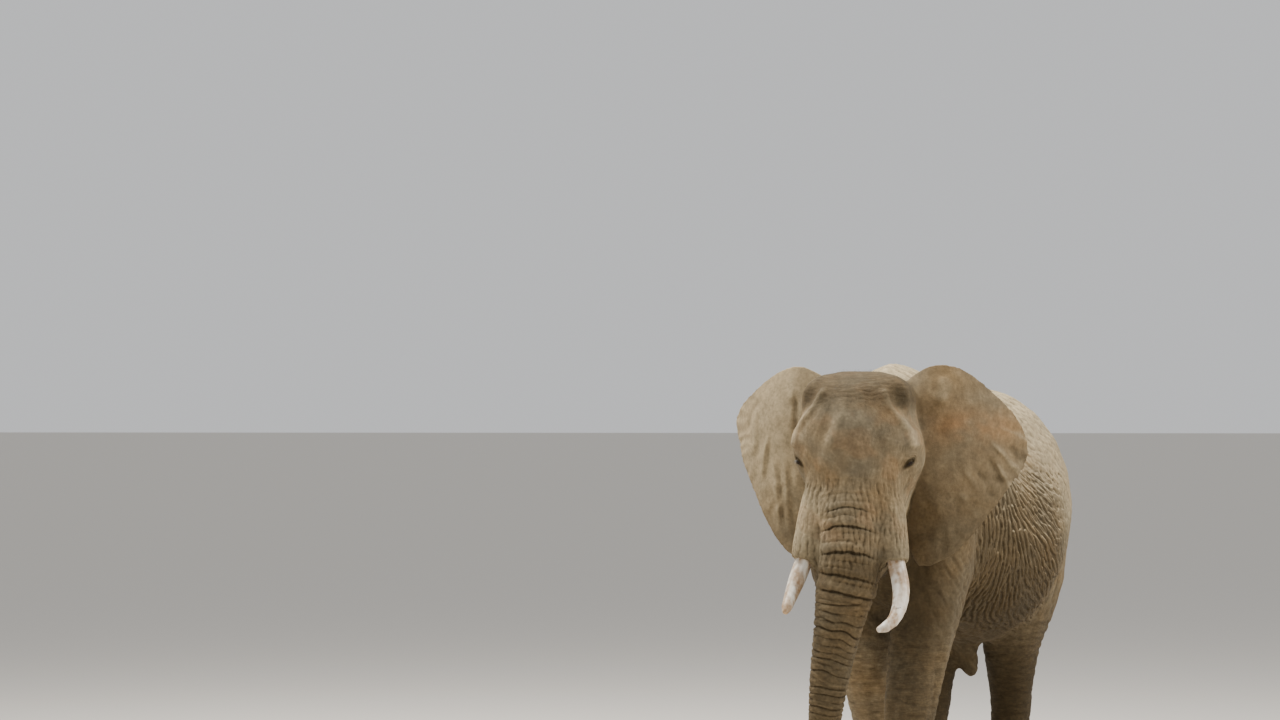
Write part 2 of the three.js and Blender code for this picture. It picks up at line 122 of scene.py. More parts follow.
class Field:
    """Signed distances to a closed surface on a grid, negative inside."""

    def __init__(self, cell, box=cad_box, margin=0.16):
        self.cell = cell
        steps = round(ZONE_CELL / cell)
        self.first = np.floor((np.array(box[0]) - margin) / ZONE_CELL).astype(int) * steps
        last = np.ceil((np.array(box[1]) + margin) / ZONE_CELL).astype(int) * steps
        self.shape = tuple(last - self.first + 1)
        self.values = None

    def fill(self, points, triangles=None, quads=None, reach=0.16):
        grid = openvdb.FloatGrid.createLevelSetFromPolygons(
            points, triangles=triangles, quads=quads,
            transform=openvdb.createLinearTransform(self.cell), halfWidth=reach / self.cell)
        self.values = np.empty(self.shape, np.float32)
        grid.copyToArray(self.values, ijk=tuple(int(i) for i in self.first))
        return self

    def surface(self, level=0.0):
        reach = 3 * self.cell
        grid = openvdb.FloatGrid(reach)
        grid.transform = openvdb.createLinearTransform(self.cell)
        grid.copyFromArray(np.clip(self.values, -reach, reach), ijk=tuple(int(i) for i in self.first))
        return grid.convertToQuads(level)

    def at(self, points):
        """The values at any points, between the cells by straight lines."""
        spot = points / self.cell - self.first
        spot = np.clip(spot, 0, np.array(self.shape) - 1.001)
        low = spot.astype(int)
        part = (spot - low).astype(np.float32)
        total = 0
        for corner in range(8):
            step = np.array([corner & 1, corner >> 1 & 1, corner >> 2 & 1])
            share = np.prod(np.where(step == 1, part, 1 - part), axis=1)
            i, j, k = (low + step).T
            total = total + share * self.values[i, j, k]
        return total

    def places(self, axis):
        """The coordinate of every cell along one axis, shaped to combine with the values."""
        line = (np.arange(self.shape[axis]) + self.first[axis]) * self.cell
        return line.astype(np.float32).reshape([-1 if i == axis else 1 for i in range(3)])


def blurred(values, spread):
    """Gaussian blur; the spread is in cells."""
    reach = int(math.ceil(3 * spread))
    weights = np.exp(-0.5 * (np.arange(-reach, reach + 1) / spread) ** 2)
    weights = (weights / weights.sum()).astype(np.float32)
    for axis in range(3):
        padding = [(reach, reach) if i == axis else (0, 0) for i in range(3)]
        padded = np.pad(values, padding, mode="edge")
        values = np.zeros_like(values)
        for offset, weight in enumerate(weights):
            window = [slice(None)] * 3
            window[axis] = slice(offset, offset + values.shape[axis])
            values += weight * padded[tuple(window)]
    return values


def softened(values, spread):
    """A blur that doesn't shrink the form."""
    once = blurred(values, spread)
    return 2 * once - blurred(once, spread)


def doubled(values):
    """The same field on a grid twice as fine, along smooth curves."""
    for axis in range(3):
        v = np.moveaxis(values, axis, 0)
        fine = np.empty((2 * v.shape[0] - 1,) + v.shape[1:], np.float32)
        fine[1::2] = (v[1:] + v[:-1]) / 2
        fine[0], fine[-1] = v[0], v[-1]
        fine[2:-1:2] = (v[2:] + 6 * v[1:-1] + v[:-2]) / 8
        values = np.moveaxis(fine, 0, axis)
    return values


# ------------------------ the animal's own landmarks
eye_spots = {1: box_corners("eye_left").mean(0), -1: box_corners("eye_right").mean(0)}
HEAD_X = unit(eye_spots[1] - eye_spots[-1])
HEAD_Y = unit(np.cross([0, 0, 1], HEAD_X))
HEAD_Z = np.cross(HEAD_X, HEAD_Y)
HEAD = (eye_spots[1] + eye_spots[-1]) / 2 + 0.212 * HEAD_Y - 0.008 * HEAD_Z
HEAD_AXES = np.stack([HEAD_X, HEAD_Y, HEAD_Z], axis=1)


def in_head(points):
    """Coordinates from the middle of the skull: to its left, backward, upward."""
    return (points - HEAD) @ HEAD_AXES


# ------------------------ the hide's first surface
def smoothed_body():
    """One surface around all the nodes of flesh, with their facets and creases smoothed away."""
    joint = Field(JOIN_CELL).fill(*node_surface(CORE), reach=3 * JOIN_CELL)
    points, quads = joint.surface(JOIN)
    coarse = Field(SOFT_CELL).fill(points, quads=quads)
    body = coarse.values + JOIN
    x, y, z = (coarse.places(axis) for axis in range(3))
    broad = smooth(y, -1.15, -0.85) * smooth(y, 2.12, 1.98) * smooth(z, 0.12, 0.35)
    middle = smooth(y, 2.12, 1.98) * smooth(z, 0.5, 0.9)
    slim = softened(body, 0.018 / SOFT_CELL)
    half = softened(body, 0.027 / SOFT_CELL)
    full = softened(body, 0.045 / SOFT_CELL)
    body = slim + (half - slim) * middle
    body = body + (full - body) * broad
    points, quads = coarse.surface(FACE_FILL - JOIN)
    filled = softened(Field(SOFT_CELL).fill(points, quads=quads).values + FACE_FILL, 0.027 / SOFT_CELL)
    head_y, head_z = (sum((line - start) * part for line, start, part in zip((x, y, z), HEAD, way))
                      for way in (HEAD_Y, HEAD_Z))
    face = smooth(head_y, 0.05, -0.1) * smooth(head_z, -0.72, -0.5) * smooth(head_z, 0.2, 0.05)
    body = body + (filled - body) * face
    fine = Field(CELL)
    if CELL < SOFT_CELL:
        body = doubled(body)
    ears = Field(CELL).fill(*node_surface(EARS), reach=0.05).values - 0.002
    tail = Field(CELL).fill(*node_surface(["tail"]), reach=0.05).values
    ears = np.minimum(ears, blurred(tail, 0.8))
    x, y, z = (fine.places(axis) for axis in range(3))
    root = smooth(np.abs(x - HEAD[0]), 0.60, 0.42) * smooth(z, 1.7, 2.0)
    reach = 0.004 + 0.06 * root
    near = np.maximum(reach - np.abs(body - ears), 0) / reach
    fine.values = np.minimum(body, ears) - near * near * reach / 4 + HIDE_DEPTH
    return fine.surface()


class Hide:
    """The mesh of the hide while it is being shaped."""

    def __init__(self, points, quads):
        self.points = points.astype(np.float64)
        self.quads = quads.astype(np.int64)
        self.others = []
        self.keep_biggest()

    def keep_biggest(self):
        """Drops every scrap of surface that doesn't hang together with the rest."""
        label = np.arange(len(self.points))
        pairs = self.quad_edges()
        while True:
            lowest = label.copy()
            np.minimum.at(lowest, pairs[:, 0], label[pairs[:, 1]])
            np.minimum.at(lowest, pairs[:, 1], label[pairs[:, 0]])
            for _ in range(3):
                lowest = np.minimum(lowest, lowest[lowest])
            if (lowest == label).all():
                break
            label = lowest
        names, counts = np.unique(label[self.quads[:, 0]], return_counts=True)
        keep = self.quads[label[self.quads[:, 0]] == names[counts.argmax()]]
        used = np.unique(keep)
        place = np.zeros(len(self.points), np.int64)
        place[used] = np.arange(len(used))
        self.points, self.quads = self.points[used], place[keep]

    def quad_edges(self, quads=None):
        quads = self.quads if quads is None else quads
        return np.concatenate([quads[:, [k, (k + 1) % 4]] for k in range(4)])

    def refine(self, inside):
        """Cuts each quad whose middle is inside into four; those beside them gain corners."""
        total = len(self.points)
        cut = inside(self.points[self.quads].mean(1))
        chosen, rest = self.quads[cut], self.quads[~cut]
        edges = np.sort(self.quad_edges(chosen), axis=1)
        keys = edges[:, 0] * total + edges[:, 1]
        keys, first, place = np.unique(keys, return_index=True, return_inverse=True)
        middles = self.points[edges[first]].mean(1)
        side = place.reshape(4, -1).T + total
        hub = total + len(keys) + np.arange(len(chosen))
        self.points = np.concatenate([self.points, middles, self.points[chosen].mean(1)])
        parts = [np.stack([chosen[:, k], side[:, k], hub, side[:, k - 1]], axis=1) for k in range(4)]
        edge = np.sort(np.stack([rest, np.roll(rest, -1, axis=1)], axis=2), axis=2)
        key = edge[:, :, 0] * total + edge[:, :, 1]
        found = np.searchsorted(keys, key)
        hit = keys[np.minimum(found, len(keys) - 1)] == key
        touched = hit.any(1)
        for quad, place, has in zip(rest[touched], found[touched], hit[touched]):
            ring = []
            for k in range(4):
                ring.append(int(quad[k]))
                if has[k]:
                    ring.append(int(place[k]) + total)
            self.others.append(ring)
        self.quads = np.concatenate([rest[~touched]] + parts)

    def link(self):
        """Finds each point's neighbours, across the quads as well as along their edges."""
        pairs = [self.quad_edges(), self.quads[:, [0, 2]], self.quads[:, [1, 3]]]
        if self.others:
            pairs.append(np.array([(ring[k], ring[k - 1]) for ring in self.others
                                   for k in range(len(ring))]))
        one, other = np.concatenate(pairs).T
        total = len(self.points)
        keys = np.unique(np.concatenate([one * total + other, other * total + one]))
        start, end = keys // total, keys % total
        rank = np.arange(len(keys)) - np.searchsorted(start, start)
        width = 10
        start, end, rank = start[rank < width], end[rank < width], rank[rank < width]
        self.near = np.tile(np.arange(total)[:, None], (1, width)).astype(np.int32)
        self.near[start, rank] = end
        self.real = (self.near != np.arange(total)[:, None]).astype(np.float32)
        step = self.points[self.near] - self.points[:, None]
        self.gap = np.sqrt((step ** 2).sum(2)).astype(np.float32)
        even = self.real / (self.gap + 1e-6)
        self.even = even / even.sum(1, keepdims=True)
        self.spacing = (self.gap * self.real).sum(1) / self.real.sum(1)

    def normals(self):
        rings = self.quads
        p = self.points
        face = np.cross(p[rings[:, 2]] - p[rings[:, 0]], p[rings[:, 3]] - p[rings[:, 1]])
        total = np.zeros_like(p)
        for axis in range(3):
            for k in range(4):
                total[:, axis] += np.bincount(rings[:, k], face[:, axis], len(p))
        bare = (total ** 2).sum(1) < 1e-20
        if self.others and bare.any():
            for ring in self.others:
                spot = p[ring]
                n = np.cross(spot[1] - spot[0], spot[-1] - spot[0])
                total[ring] += n
        return unit(total)

    def mix(self, values, weights=None):
        """Each point's value from its neighbours' values."""
        weights = self.even if weights is None else weights
        if values.ndim == 1:
            return (values[self.near] * weights).sum(1)
        columns = [(column[self.near] * weights).sum(1) for column in values.T]
        return np.stack(columns, axis=1)

    def spread(self, values, rounds, weights=None):
        for _ in range(rounds):
            values = self.mix(values, weights)
        return values

    def relax(self, rounds, where):
        """Moves each point towards the middle of its neighbours, as far as where says."""
        for _ in range(rounds):
            self.points = self.points + (self.mix(self.points) - self.points) * 0.5 * where[:, None]

    def lay_weights(self, lay, strength):
        """Weights that carry a value on along the unit vectors in lay, and hardly across them."""
        step = self.points[self.near] - self.points[:, None]
        along = (step * lay[:, None]).sum(2) / (self.gap + 1e-9)
        weights = self.real * (0.02 + np.abs(along) ** 6)
        weights = weights / weights.sum(1, keepdims=True)
        return (weights * strength[:, None] + self.even * (1 - strength[:, None])).astype(np.float32)


hide = Hide(*smoothed_body())


trunk_field = Field(ZONE_CELL).fill(*node_surface(TRUNK), reach=ZONE_REACH)
body_field = Field(ZONE_CELL).fill(*node_surface(["torso"]), reach=ZONE_REACH)


def near_eyes(points, reach):
    return np.minimum(*(np.linalg.norm(points - spot, axis=1) for spot in eye_spots.values())) < reach


def near_flank(points):
    """The sides of the body, where the folds are long and sharp."""
    x, y, z = points.T
    level = z > 0.97 + 0.25 * smooth(y, 0.3, -0.3)
    return (np.abs(x) > 0.30) & (y > -0.75) & (y < 1.45) & level & (z < 2.35)


def near_head(points):
    """The face, the trunk and the skin around the eyes, whose folds are the finest."""
    spot = in_head(points)
    face = (spot[:, 1] < -0.12) & (spot[:, 2] > -0.95) & (spot[:, 2] < 0.62) & (np.abs(spot[:, 0]) < 0.46)
    return face | near_eyes(points, 0.20) | (trunk_field.at(points) < 0.03)


hide.refine(lambda points: near_head(points) | near_flank(points) & (body_field.at(points) < 0.03))
for reach in (0.14, 0.08, 0.045):
    hide.refine(lambda points: near_eyes(points, reach))
hide.link()
hide.relax(3, where=smooth(hide.spacing, CELL, CELL * 0.7))

# ------------------------ which part each point belongs to
ZONES = ["torso", "neck", "head", "jaw", "trunk", "tail"] + EARS + LEGS


def zone_shares(points):
    """How much each point belongs to each part, with soft borders."""
    closeness = {}
    for name in ZONES:
        nodes = TRUNK if name == "trunk" else [name]
        gap = Field(ZONE_CELL).fill(*node_surface(nodes), reach=ZONE_REACH).at(points)
        closeness[name] = np.exp(-np.maximum(gap, -0.02) / 0.022)
    total = sum(closeness.values())
    return {name: value / total for name, value in closeness.items()}


zone = zone_shares(hide.points)
zone = {name: hide.spread(value.astype(np.float32), 4) for name, value in zone.items()}
ear = zone["ear_left"] + zone["ear_right"]
foreleg = zone["foreleg_left"] + zone["foreleg_right"]
hind_leg = zone["hind_leg_left"] + zone["hind_leg_right"]
leg = foreleg + hind_leg


# ------------------------ the ears' sheets made even
def even_ears():
    """Smooths each ear across its sheet only, so that its outline stays."""
    for side, name in ((1, "ear_left"), (-1, "ear_right")):
        spot = in_head(hide.points)
        mine = zone[name] > 0.5
        a, b = spot[mine, 0] * side, spot[mine, 2]
        terms = np.stack([a ** i * b ** j for i in range(4) for j in range(3)], axis=1)
        shape = np.linalg.lstsq(terms, spot[mine, 1], rcond=None)[0]
        slope_a, slope_b = 0, 0
        for number, factor in enumerate(shape):
            i, j = divmod(number, 3)
            slope_a = slope_a + factor * i * a ** max(i - 1, 0) * b ** j
            slope_b = slope_b + factor * j * a ** i * b ** max(j - 1, 0)
        across = unit(np.stack([-slope_a * side, np.ones_like(a), -slope_b], axis=1)) @ HEAD_AXES.T
        full = np.zeros_like(hide.points)
        full[mine] = across
        where = (hide.spread(mine.astype(np.float32), 6) * mine)[:, None]
        near = np.flatnonzero(where[:, 0] > 0)
        for _ in range(60):
            spots = hide.points[hide.near[near]]
            move = (spots * hide.even[near][:, :, None]).sum(1) - hide.points[near]
            hide.points[near] += full[near] * (dot(move, full[near]) * where[near, 0])[:, None]


even_ears()
turned = np.abs(dot(hide.normals(), HEAD_Y))
hide.relax(8, where=hide.spread(ear * smooth(turned, 0.9, 0.5), 1))
normal = hide.normals()
head_spot = in_head(hide.points)
hx, hy, hz = head_spot.T
px, py, pz = hide.points.T


# ------------------------ folds
def folds(narrow, wide, rounds):
    """Ridges (towards 1) and creases (towards -1) that run along the lay, branching as real ones do."""
    values = rng.standard_normal(len(hide.points)).astype(np.float32)
    for _ in range(rounds):
        inner = hide.spread(values, narrow, LAY)
        inner = (inner + hide.mix(inner, LAY)) / 2
        difference = inner - hide.spread(inner, wide)
        values = np.tanh(difference / (difference.std() * 0.7))
    return (values + hide.spread(values, 1)) / 2


def creases(values):
    """Turns even waves into broad ridges with narrow creases: 0 on the ridge, -1 in the crease."""
    return -smooth(values, 0.5, -0.9)


def cloud(points, size, seed, octaves=3):
    """Soft noise from sums of plane waves, about -1 to 1."""
    waves = np.random.default_rng(seed)
    total, weight = 0, 0
    for octave in range(octaves):
        for _ in range(7):
            turn = unit(waves.standard_normal(3)) * 2 * math.pi / (size / 1.9 ** octave)
            total = total + np.sin(points @ turn + waves.uniform(0, 6.3)) * 0.62 ** octave
        weight += 7 * 0.5 * (0.62 ** octave) ** 2
    return total / math.sqrt(weight) / 1.8


def across_axis(axis):
    """The direction around a limb whose axis is given."""
    return unit(np.cross(np.broadcast_to(axis, normal.shape), normal))


def along(direction):
    """A direction laid onto the surface."""
    direction = np.broadcast_to(direction, normal.shape)
    return unit(direction - dot(direction, normal)[:, None] * normal)


def trunk_axis():
    """The middle of the trunk and its direction at the height of each point."""
    mine = zone["trunk"] > 0.6
    levels = np.arange(0.2, 1.75, 0.1)
    middles = []
    for level in levels:
        ring = mine & (np.abs(pz - level) < 0.06)
        middles.append(hide.points[ring].mean(0) if ring.sum() > 20 else middles[-1])
    middles = np.array(middles)
    run = unit(np.gradient(middles, axis=0))
    return (np.stack([np.interp(pz, levels, column) for column in line.T], axis=1)
            for line in (middles, run))


trunk_mid, TRUNK_RUN = trunk_axis()
trunk_place = pz + dot(hide.points - trunk_mid, TRUNK_RUN) * (pz < 1.75)
UP = np.array([0.0, 0.0, 1.0])


def lay_mix():
    """Weights that carry a value on along the hide's folds, each part of the body in its own direction."""
    torso = zone["torso"] + zone["neck"]
    slant = np.radians(90 - 66 * smooth(py, -0.2, 0.5))
    below = smooth(pz, 1.5, 1.1) * smooth(py, 1.5, 0.9) * smooth(py, -0.7, -0.4)
    slant = slant - (slant - np.radians(14)) * below
    slant = slant + (np.radians(80) - slant) * smooth(pz, 2.45, 2.8)
    flank = along(np.stack([np.zeros_like(slant), np.cos(slant), -np.sin(slant)], axis=1))
    hip = smooth(py, 0.55, 0.95) * smooth(pz, 1.75, 2.0)
    shoulder = smooth(pz, 1.15, 1.45)
    sloped = along(np.array([0, 0.8, -0.6]))
    upright = along(UP)
    ringed = smooth(hz, -0.6, -0.9)
    crown = smooth(hz, 0.36, 0.46)
    skull = zone["head"] + zone["jaw"]
    lays = [(flank, torso, 0.95 - 0.8 * hip), (across_axis(TRUNK_RUN), zone["trunk"] * ringed, 1.0),
            (across_axis(UP), leg * (1 - shoulder) + zone["tail"], 0.92),
            (sloped, foreleg * shoulder, 0.8), (upright, hind_leg * shoulder, 0.85),
            (along(HEAD_Z), skull * (1 - crown) + zone["trunk"] * (1 - ringed), 0.95),
            (across_axis(UP), zone["head"] * crown, 0.8), (upright, ear, 0.5)]
    total, mass = 0, 0
    for lay, share, strictness in lays:
        share = share[:, None].astype(np.float32)
        total = total + share * hide.lay_weights(lay, strictness * np.ones(len(px), np.float32))
        mass = mass + share
    return total / mass


LAY = lay_mix()
big = folds(14, 30, 6)
middle = folds(8, 10, 6)
small = folds(2, 4, 4)


def fold_depths():
    """How deep the big, middle and small folds are over the body, in metres."""
    torso, neck, trunk, head = (zone[name] for name in ("torso", "neck", "trunk", "head"))
    patch = 0.8 + 0.35 * cloud(hide.points, 0.7, 3)
    flank = torso * smooth(pz, 2.75, 2.3) * smooth(np.abs(px), 0.2, 0.4)
    core = flank * smooth(py, 1.5, 0.7) * smooth(py, -0.9, -0.5) * smooth(pz, 0.9, 1.1)
    lower_face = smooth(hz, 0.0, -0.2)
    fine = smooth(hide.spacing, CELL * 1.1, CELL * 0.7)
    elbow = smooth(py, 0.45, -0.1) * smooth(pz, 2.3, 1.8)
    crown = head * smooth(hz, 0.38, 0.48)
    large = (0.0065 + 0.004 * elbow) * core * fine + 0.002 * torso + 0.003 * neck
    large = large + 0.0015 * hind_leg * smooth(pz, 0.9, 1.3) + 0.002 * trunk + 0.0016 * head * lower_face
    medium = 0.0035 * core * fine + 0.0035 * torso * (1 - fine) + 0.003 * leg + 0.004 * neck
    medium = medium + 0.003 * hind_leg * smooth(pz, 0.8, 1.3) + 0.0025 * trunk
    medium = medium + head * (0.0008 + 0.0028 * lower_face) + 0.0004 * crown
    little = (0.0025 * torso + 0.0022 * leg + 0.0015 * neck) * (1 - 0.6 * fine)
    little = little + 0.0007 * (trunk + head * (0.5 + lower_face)) + 0.0005 * ear
    return large * patch, medium * (0.85 + 0.3 * cloud(hide.points, 0.45, 4)), little


large, medium, little = fold_depths()
height = creases(big) * large + creases(middle) * medium + creases(small) * little


# ------------------------ forms, in the skull's own coordinates
def stroke(path, width, flat_x, flat_z, tapered=False):
    """A ridge along a path over the face: 1 on the path, 0 away from it, fading to its ends if tapered."""
    nearest = np.full(len(flat_x), 9.0)
    share = np.zeros(len(flat_x))
    path = np.array(path, float)
    lengths = np.linalg.norm(np.diff(path, axis=0), axis=1)
    passed = 0.0
    for start, end, length in zip(path[:-1], path[1:], lengths):
        run = end - start
        t = np.clip(((flat_x - start[0]) * run[0] + (flat_z - start[1]) * run[1]) / (run @ run), 0, 1)
        gap = np.hypot(flat_x - start[0] - t * run[0], flat_z - start[1] - t * run[1])
        share = np.where(gap < nearest, (passed + t * length) / lengths.sum(), share)
        nearest = np.minimum(nearest, gap)
        passed += length
    ends = smooth(share, 0.0, 0.3) * smooth(share, 1.0, 0.7) if tapered else 1.0
    return bell(nearest, 0, width) * ends


def dab(centre, radii, flat_x, flat_z):
    """A soft mound: 1 at its centre, falling away over the two radii."""
    return bell(flat_x, centre[0], radii[0]) * bell(flat_z, centre[1], radii[1])


# forms of the face, the same on both sides and then single ones: the points of a path, or a middle and
# two radii, outward and upward from the middle of the skull; a path's width; how far the form stands out
FACE_PAIRS = [
    ([(0.21, 0.47), (0.26, 0.38), (0.33, 0.295), (0.39, 0.21), (0.405, 0.13)], 0.026, 0.024),
    ([(0.27, 0.585), (0.36, 0.54), (0.42, 0.45), (0.44, 0.36)], 0.040, 0.006),
    ([(0.355, -0.03), (0.345, -0.12), (0.335, -0.2)], 0.014, -0.007)]
FACE_DABS = [
    ((0.325, 0.44), (0.07, 0.12), -0.021), ((0.40, 0.29), (0.035, 0.07), -0.010),
    ((0.335, 0.08), (0.028, 0.045), -0.010), ((0.36, -0.22), (0.05, 0.10), -0.008)]
FACE_SINGLE = [
    ([(-0.205, -0.44), (-0.215, -0.56), (-0.23, -0.76)], 0.032, -0.020),
    ([(0.25, -0.58), (0.24, -0.68), (0.225, -0.80)], 0.032, -0.018),
    ([(-0.05, 0.40), (-0.08, 0.2), (-0.15, 0.09), (-0.19, 0.0)], 0.042, 0.010),
    ([(0.13, 0.45), (0.20, 0.30), (0.19, 0.14)], 0.055, -0.011)]
FACE_SPOTS = [
    ((-0.155, 0.29), (0.05, 0.13), -0.020), ((0.02, 0.50), (0.16, 0.05), 0.008),
    ((0.0, 0.435), (0.18, 0.03), -0.003), ((0.0, -0.2), (0.16, 0.2), 0.010)]


def head_forms():
    """The crown, the brow ridges, the hollows of the temples, the cheeks and the tusks' sheaths."""
    front = smooth(hy, 0.05, -0.09) * (zone["head"] + zone["trunk"] + zone["jaw"])
    total = 0
    for flat_x, strokes, dabs in ((np.abs(hx), FACE_PAIRS, FACE_DABS), (hx, FACE_SINGLE, FACE_SPOTS)):
        for path, width, amount in strokes:
            total = total + amount * stroke(path, width, flat_x, hz)
        for centre, radii, amount in dabs:
            total = total + amount * dab(centre, radii, flat_x, hz)
    cheek = 0.012 * bell(hz, 0.02, 0.09) * bell(hy, 0.0, 0.08) * zone["head"]
    return total * front + cheek


# the long folds over the trunk's root: level, middle, half length, sag at the ends, slope, depth
FACE_ROWS = [
    (-0.10, 0.00, 0.22, 0.5, 0.00, 0.003), (-0.195, 0.01, 0.22, 0.9, 0.02, 0.005),
    (-0.245, 0.03, 0.15, 0.9, 0.00, 0.003), (-0.29, 0.00, 0.20, 1.7, 0.03, 0.012),
    (-0.345, -0.03, 0.15, 1.5, 0.05, 0.005), (-0.412, 0.00, 0.23, 1.3, 0.00, 0.018),
    (-0.455, 0.05, 0.13, 1.0, 0.00, 0.005), (-0.515, -0.04, 0.16, 1.0, 0.02, 0.006),
    (-0.587, 0.01, 0.23, 0.9, -0.05, 0.020), (-0.65, 0.06, 0.15, 0.8, -0.10, 0.007),
    (-0.69, -0.05, 0.14, 0.7, -0.05, 0.006), (-0.748, 0.00, 0.25, 0.4, -0.17, 0.020),
    (-0.80, 0.05, 0.16, 0.5, -0.22, 0.007), (-0.865, 0.00, 0.27, 0.4, -0.20, 0.020),
    (-0.915, -0.02, 0.18, 0.4, -0.16, 0.007)]


def face_folds():
    """The long folds across the face above the trunk, one above another, sagging at both ends."""
    front = smooth(hy, -0.13, -0.26) * (zone["head"] + zone["trunk"])
    total = np.zeros_like(hx)
    for number, (level, middle_x, half, sag, slope, depth) in enumerate(FACE_ROWS):
        wobble = 0.005 * cloud(head_spot * [1, 0, 1], 0.14, 40 + number)
        side = hx - middle_x
        gap = hz - (level - sag * side ** 2 + slope * side + wobble)
        reach = smooth(np.abs(side), half * 1.1, half * 0.35)
        width = 0.006 + 0.28 * depth
        roll = 0.6 * bell(gap, 3.2 * width, 2.6 * width)
        total = total + (roll - 0.8 * bell(gap, 0, width)) * depth * reach
    return total * front


def trunk_rings():
    """Creases around the trunk, nearer together towards its tip."""
    levels = np.linspace(0.05, 2.0, 400)
    spacing = np.interp(levels, [0.15, 0.7, 1.1, 1.5], [0.026, 0.036, 0.046, 0.070])
    counts = np.cumsum((levels[1] - levels[0]) / spacing)
    phase = np.interp(trunk_place, levels, counts)
    phase = phase + 0.7 * cloud(hide.points, 0.6, 71, 1) + 0.22 * cloud(hide.points, 0.2, 72, 1)
    whole = np.round(phase)
    strength = np.random.default_rng(5).uniform(0.25, 1.0, 400)[whole.astype(int) % 400]
    part = phase - whole
    depth = np.interp(trunk_place, [0.2, 0.8, 1.4], [0.0055, 0.010, 0.015])
    facing = 0.55 + 0.45 * smooth(dot(normal, -HEAD_Y), -0.4, 0.3)
    roll = 1 - np.sqrt(1 - (1 - 2 * np.abs(part)) ** 2)
    ring = -(0.85 * roll + 0.5 * bell(part, 0, 0.13)) * strength
    return ring * depth * facing * zone["trunk"] * smooth(hz, -0.86, -0.98)


# folds of the ears: the points of a path outward and upward from the skull's middle, width, height
LEFT_EAR = [
    ([(0.84, 0.26), (0.97, 0.21), (1.09, 0.11)], 0.017, 0.008),
    ([(0.80, 0.19), (0.90, 0.07), (0.98, -0.04), (1.03, -0.16)], 0.018, 0.012),
    ([(0.83, 0.06), (0.90, -0.07), (0.97, -0.22)], 0.017, 0.009),
    ([(0.80, 0.08), (0.86, -0.05), (0.90, -0.19)], 0.026, -0.009),
    ([(0.90, 0.15), (1.01, 0.04), (1.06, -0.08)], 0.026, -0.009),
    ([(0.64, 0.0), (0.73, -0.13), (0.82, -0.28)], 0.026, 0.006),
    ([(0.72, 0.0), (0.79, -0.12), (0.85, -0.26)], 0.024, -0.006),
    ([(0.62, -0.14), (0.69, -0.27), (0.78, -0.41)], 0.028, 0.005),
    ([(0.52, 0.62), (0.54, 0.50), (0.50, 0.38)], 0.060, 0.009),
    ([(0.66, 0.56), (0.59, 0.45), (0.54, 0.32), (0.50, 0.08)], 0.035, -0.003)]
RIGHT_EAR = [
    ([(0.76, 0.44), (0.86, 0.33), (0.90, 0.18)], 0.026, -0.007),
    ([(0.79, 0.42), (0.83, 0.26), (0.82, 0.04)], 0.026, 0.007),
    ([(0.69, 0.22), (0.74, 0.04), (0.76, -0.16)], 0.022, 0.009),
    ([(0.77, 0.22), (0.80, 0.05), (0.80, -0.10)], 0.024, -0.005),
    ([(0.68, 0.16), (0.71, -0.01), (0.72, -0.16)], 0.024, -0.005),
    ([(0.68, 0.08), (0.63, -0.2), (0.60, -0.50)], 0.026, 0.007),
    ([(0.62, 0.06), (0.59, -0.22), (0.57, -0.50)], 0.024, -0.005),
    ([(0.58, 0.10), (0.55, -0.23), (0.53, -0.54)], 0.026, 0.007),
    ([(0.53, 0.08), (0.515, -0.20), (0.50, -0.46)], 0.024, -0.004),
    ([(0.55, 0.62), (0.53, 0.50), (0.51, 0.38)], 0.040, 0.008),
    ([(0.50, 0.50), (0.49, 0.34), (0.485, 0.12)], 0.022, -0.011)]


def ear_forms():
    """How far forward the ears' folds move both faces of their sheets, and the scallops of the rims."""
    flat_spot = head_spot * [1, 0, 1]
    across = np.abs(dot(normal, HEAD_Y))
    swing = cloud(flat_spot, 0.4, 21)
    bend, outline = 0, 0
    for name, side, strokes in (("ear_left", 1, LEFT_EAR), ("ear_right", -1, RIGHT_EAR)):
        a = hx * side
        form = sum(amount * stroke(path, width, a, hz, True) for path, width, amount in strokes)
        turn = np.arctan2(hz - 0.25, a - 0.4)
        far = np.hypot(hz - 0.25, a - 0.4)
        form = form + 0.0025 * smooth(far, 0.3, 0.62) * np.sin(turn * 17 + 3.5 * swing)
        bend = bend + 1.5 * form * zone[name]
        rim = smooth(across, 0.75, 0.3) * smooth(far, 0.35, 0.5) * zone[name]
        outline = outline + 0.006 * np.sin(turn * 46 + 3 * swing) * rim
    return bend, outline


# forms of the legs: amount, then middle and width of its turn about the leg, and of its height
FORE_FORMS = [
    (0.014, 1.75, 0.20, 0.95, 0.45), (-0.012, 1.35, 0.18, 0.95, 0.40),
    (0.010, -0.75, 0.22, 0.75, 0.35), (-0.010, -0.35, 0.20, 0.60, 0.30),
    (0.022, -1.5, 0.7, 1.15, 0.42)]
HIND_FORMS = [(-0.010, 2.2, 0.25, 0.8, 0.3)]


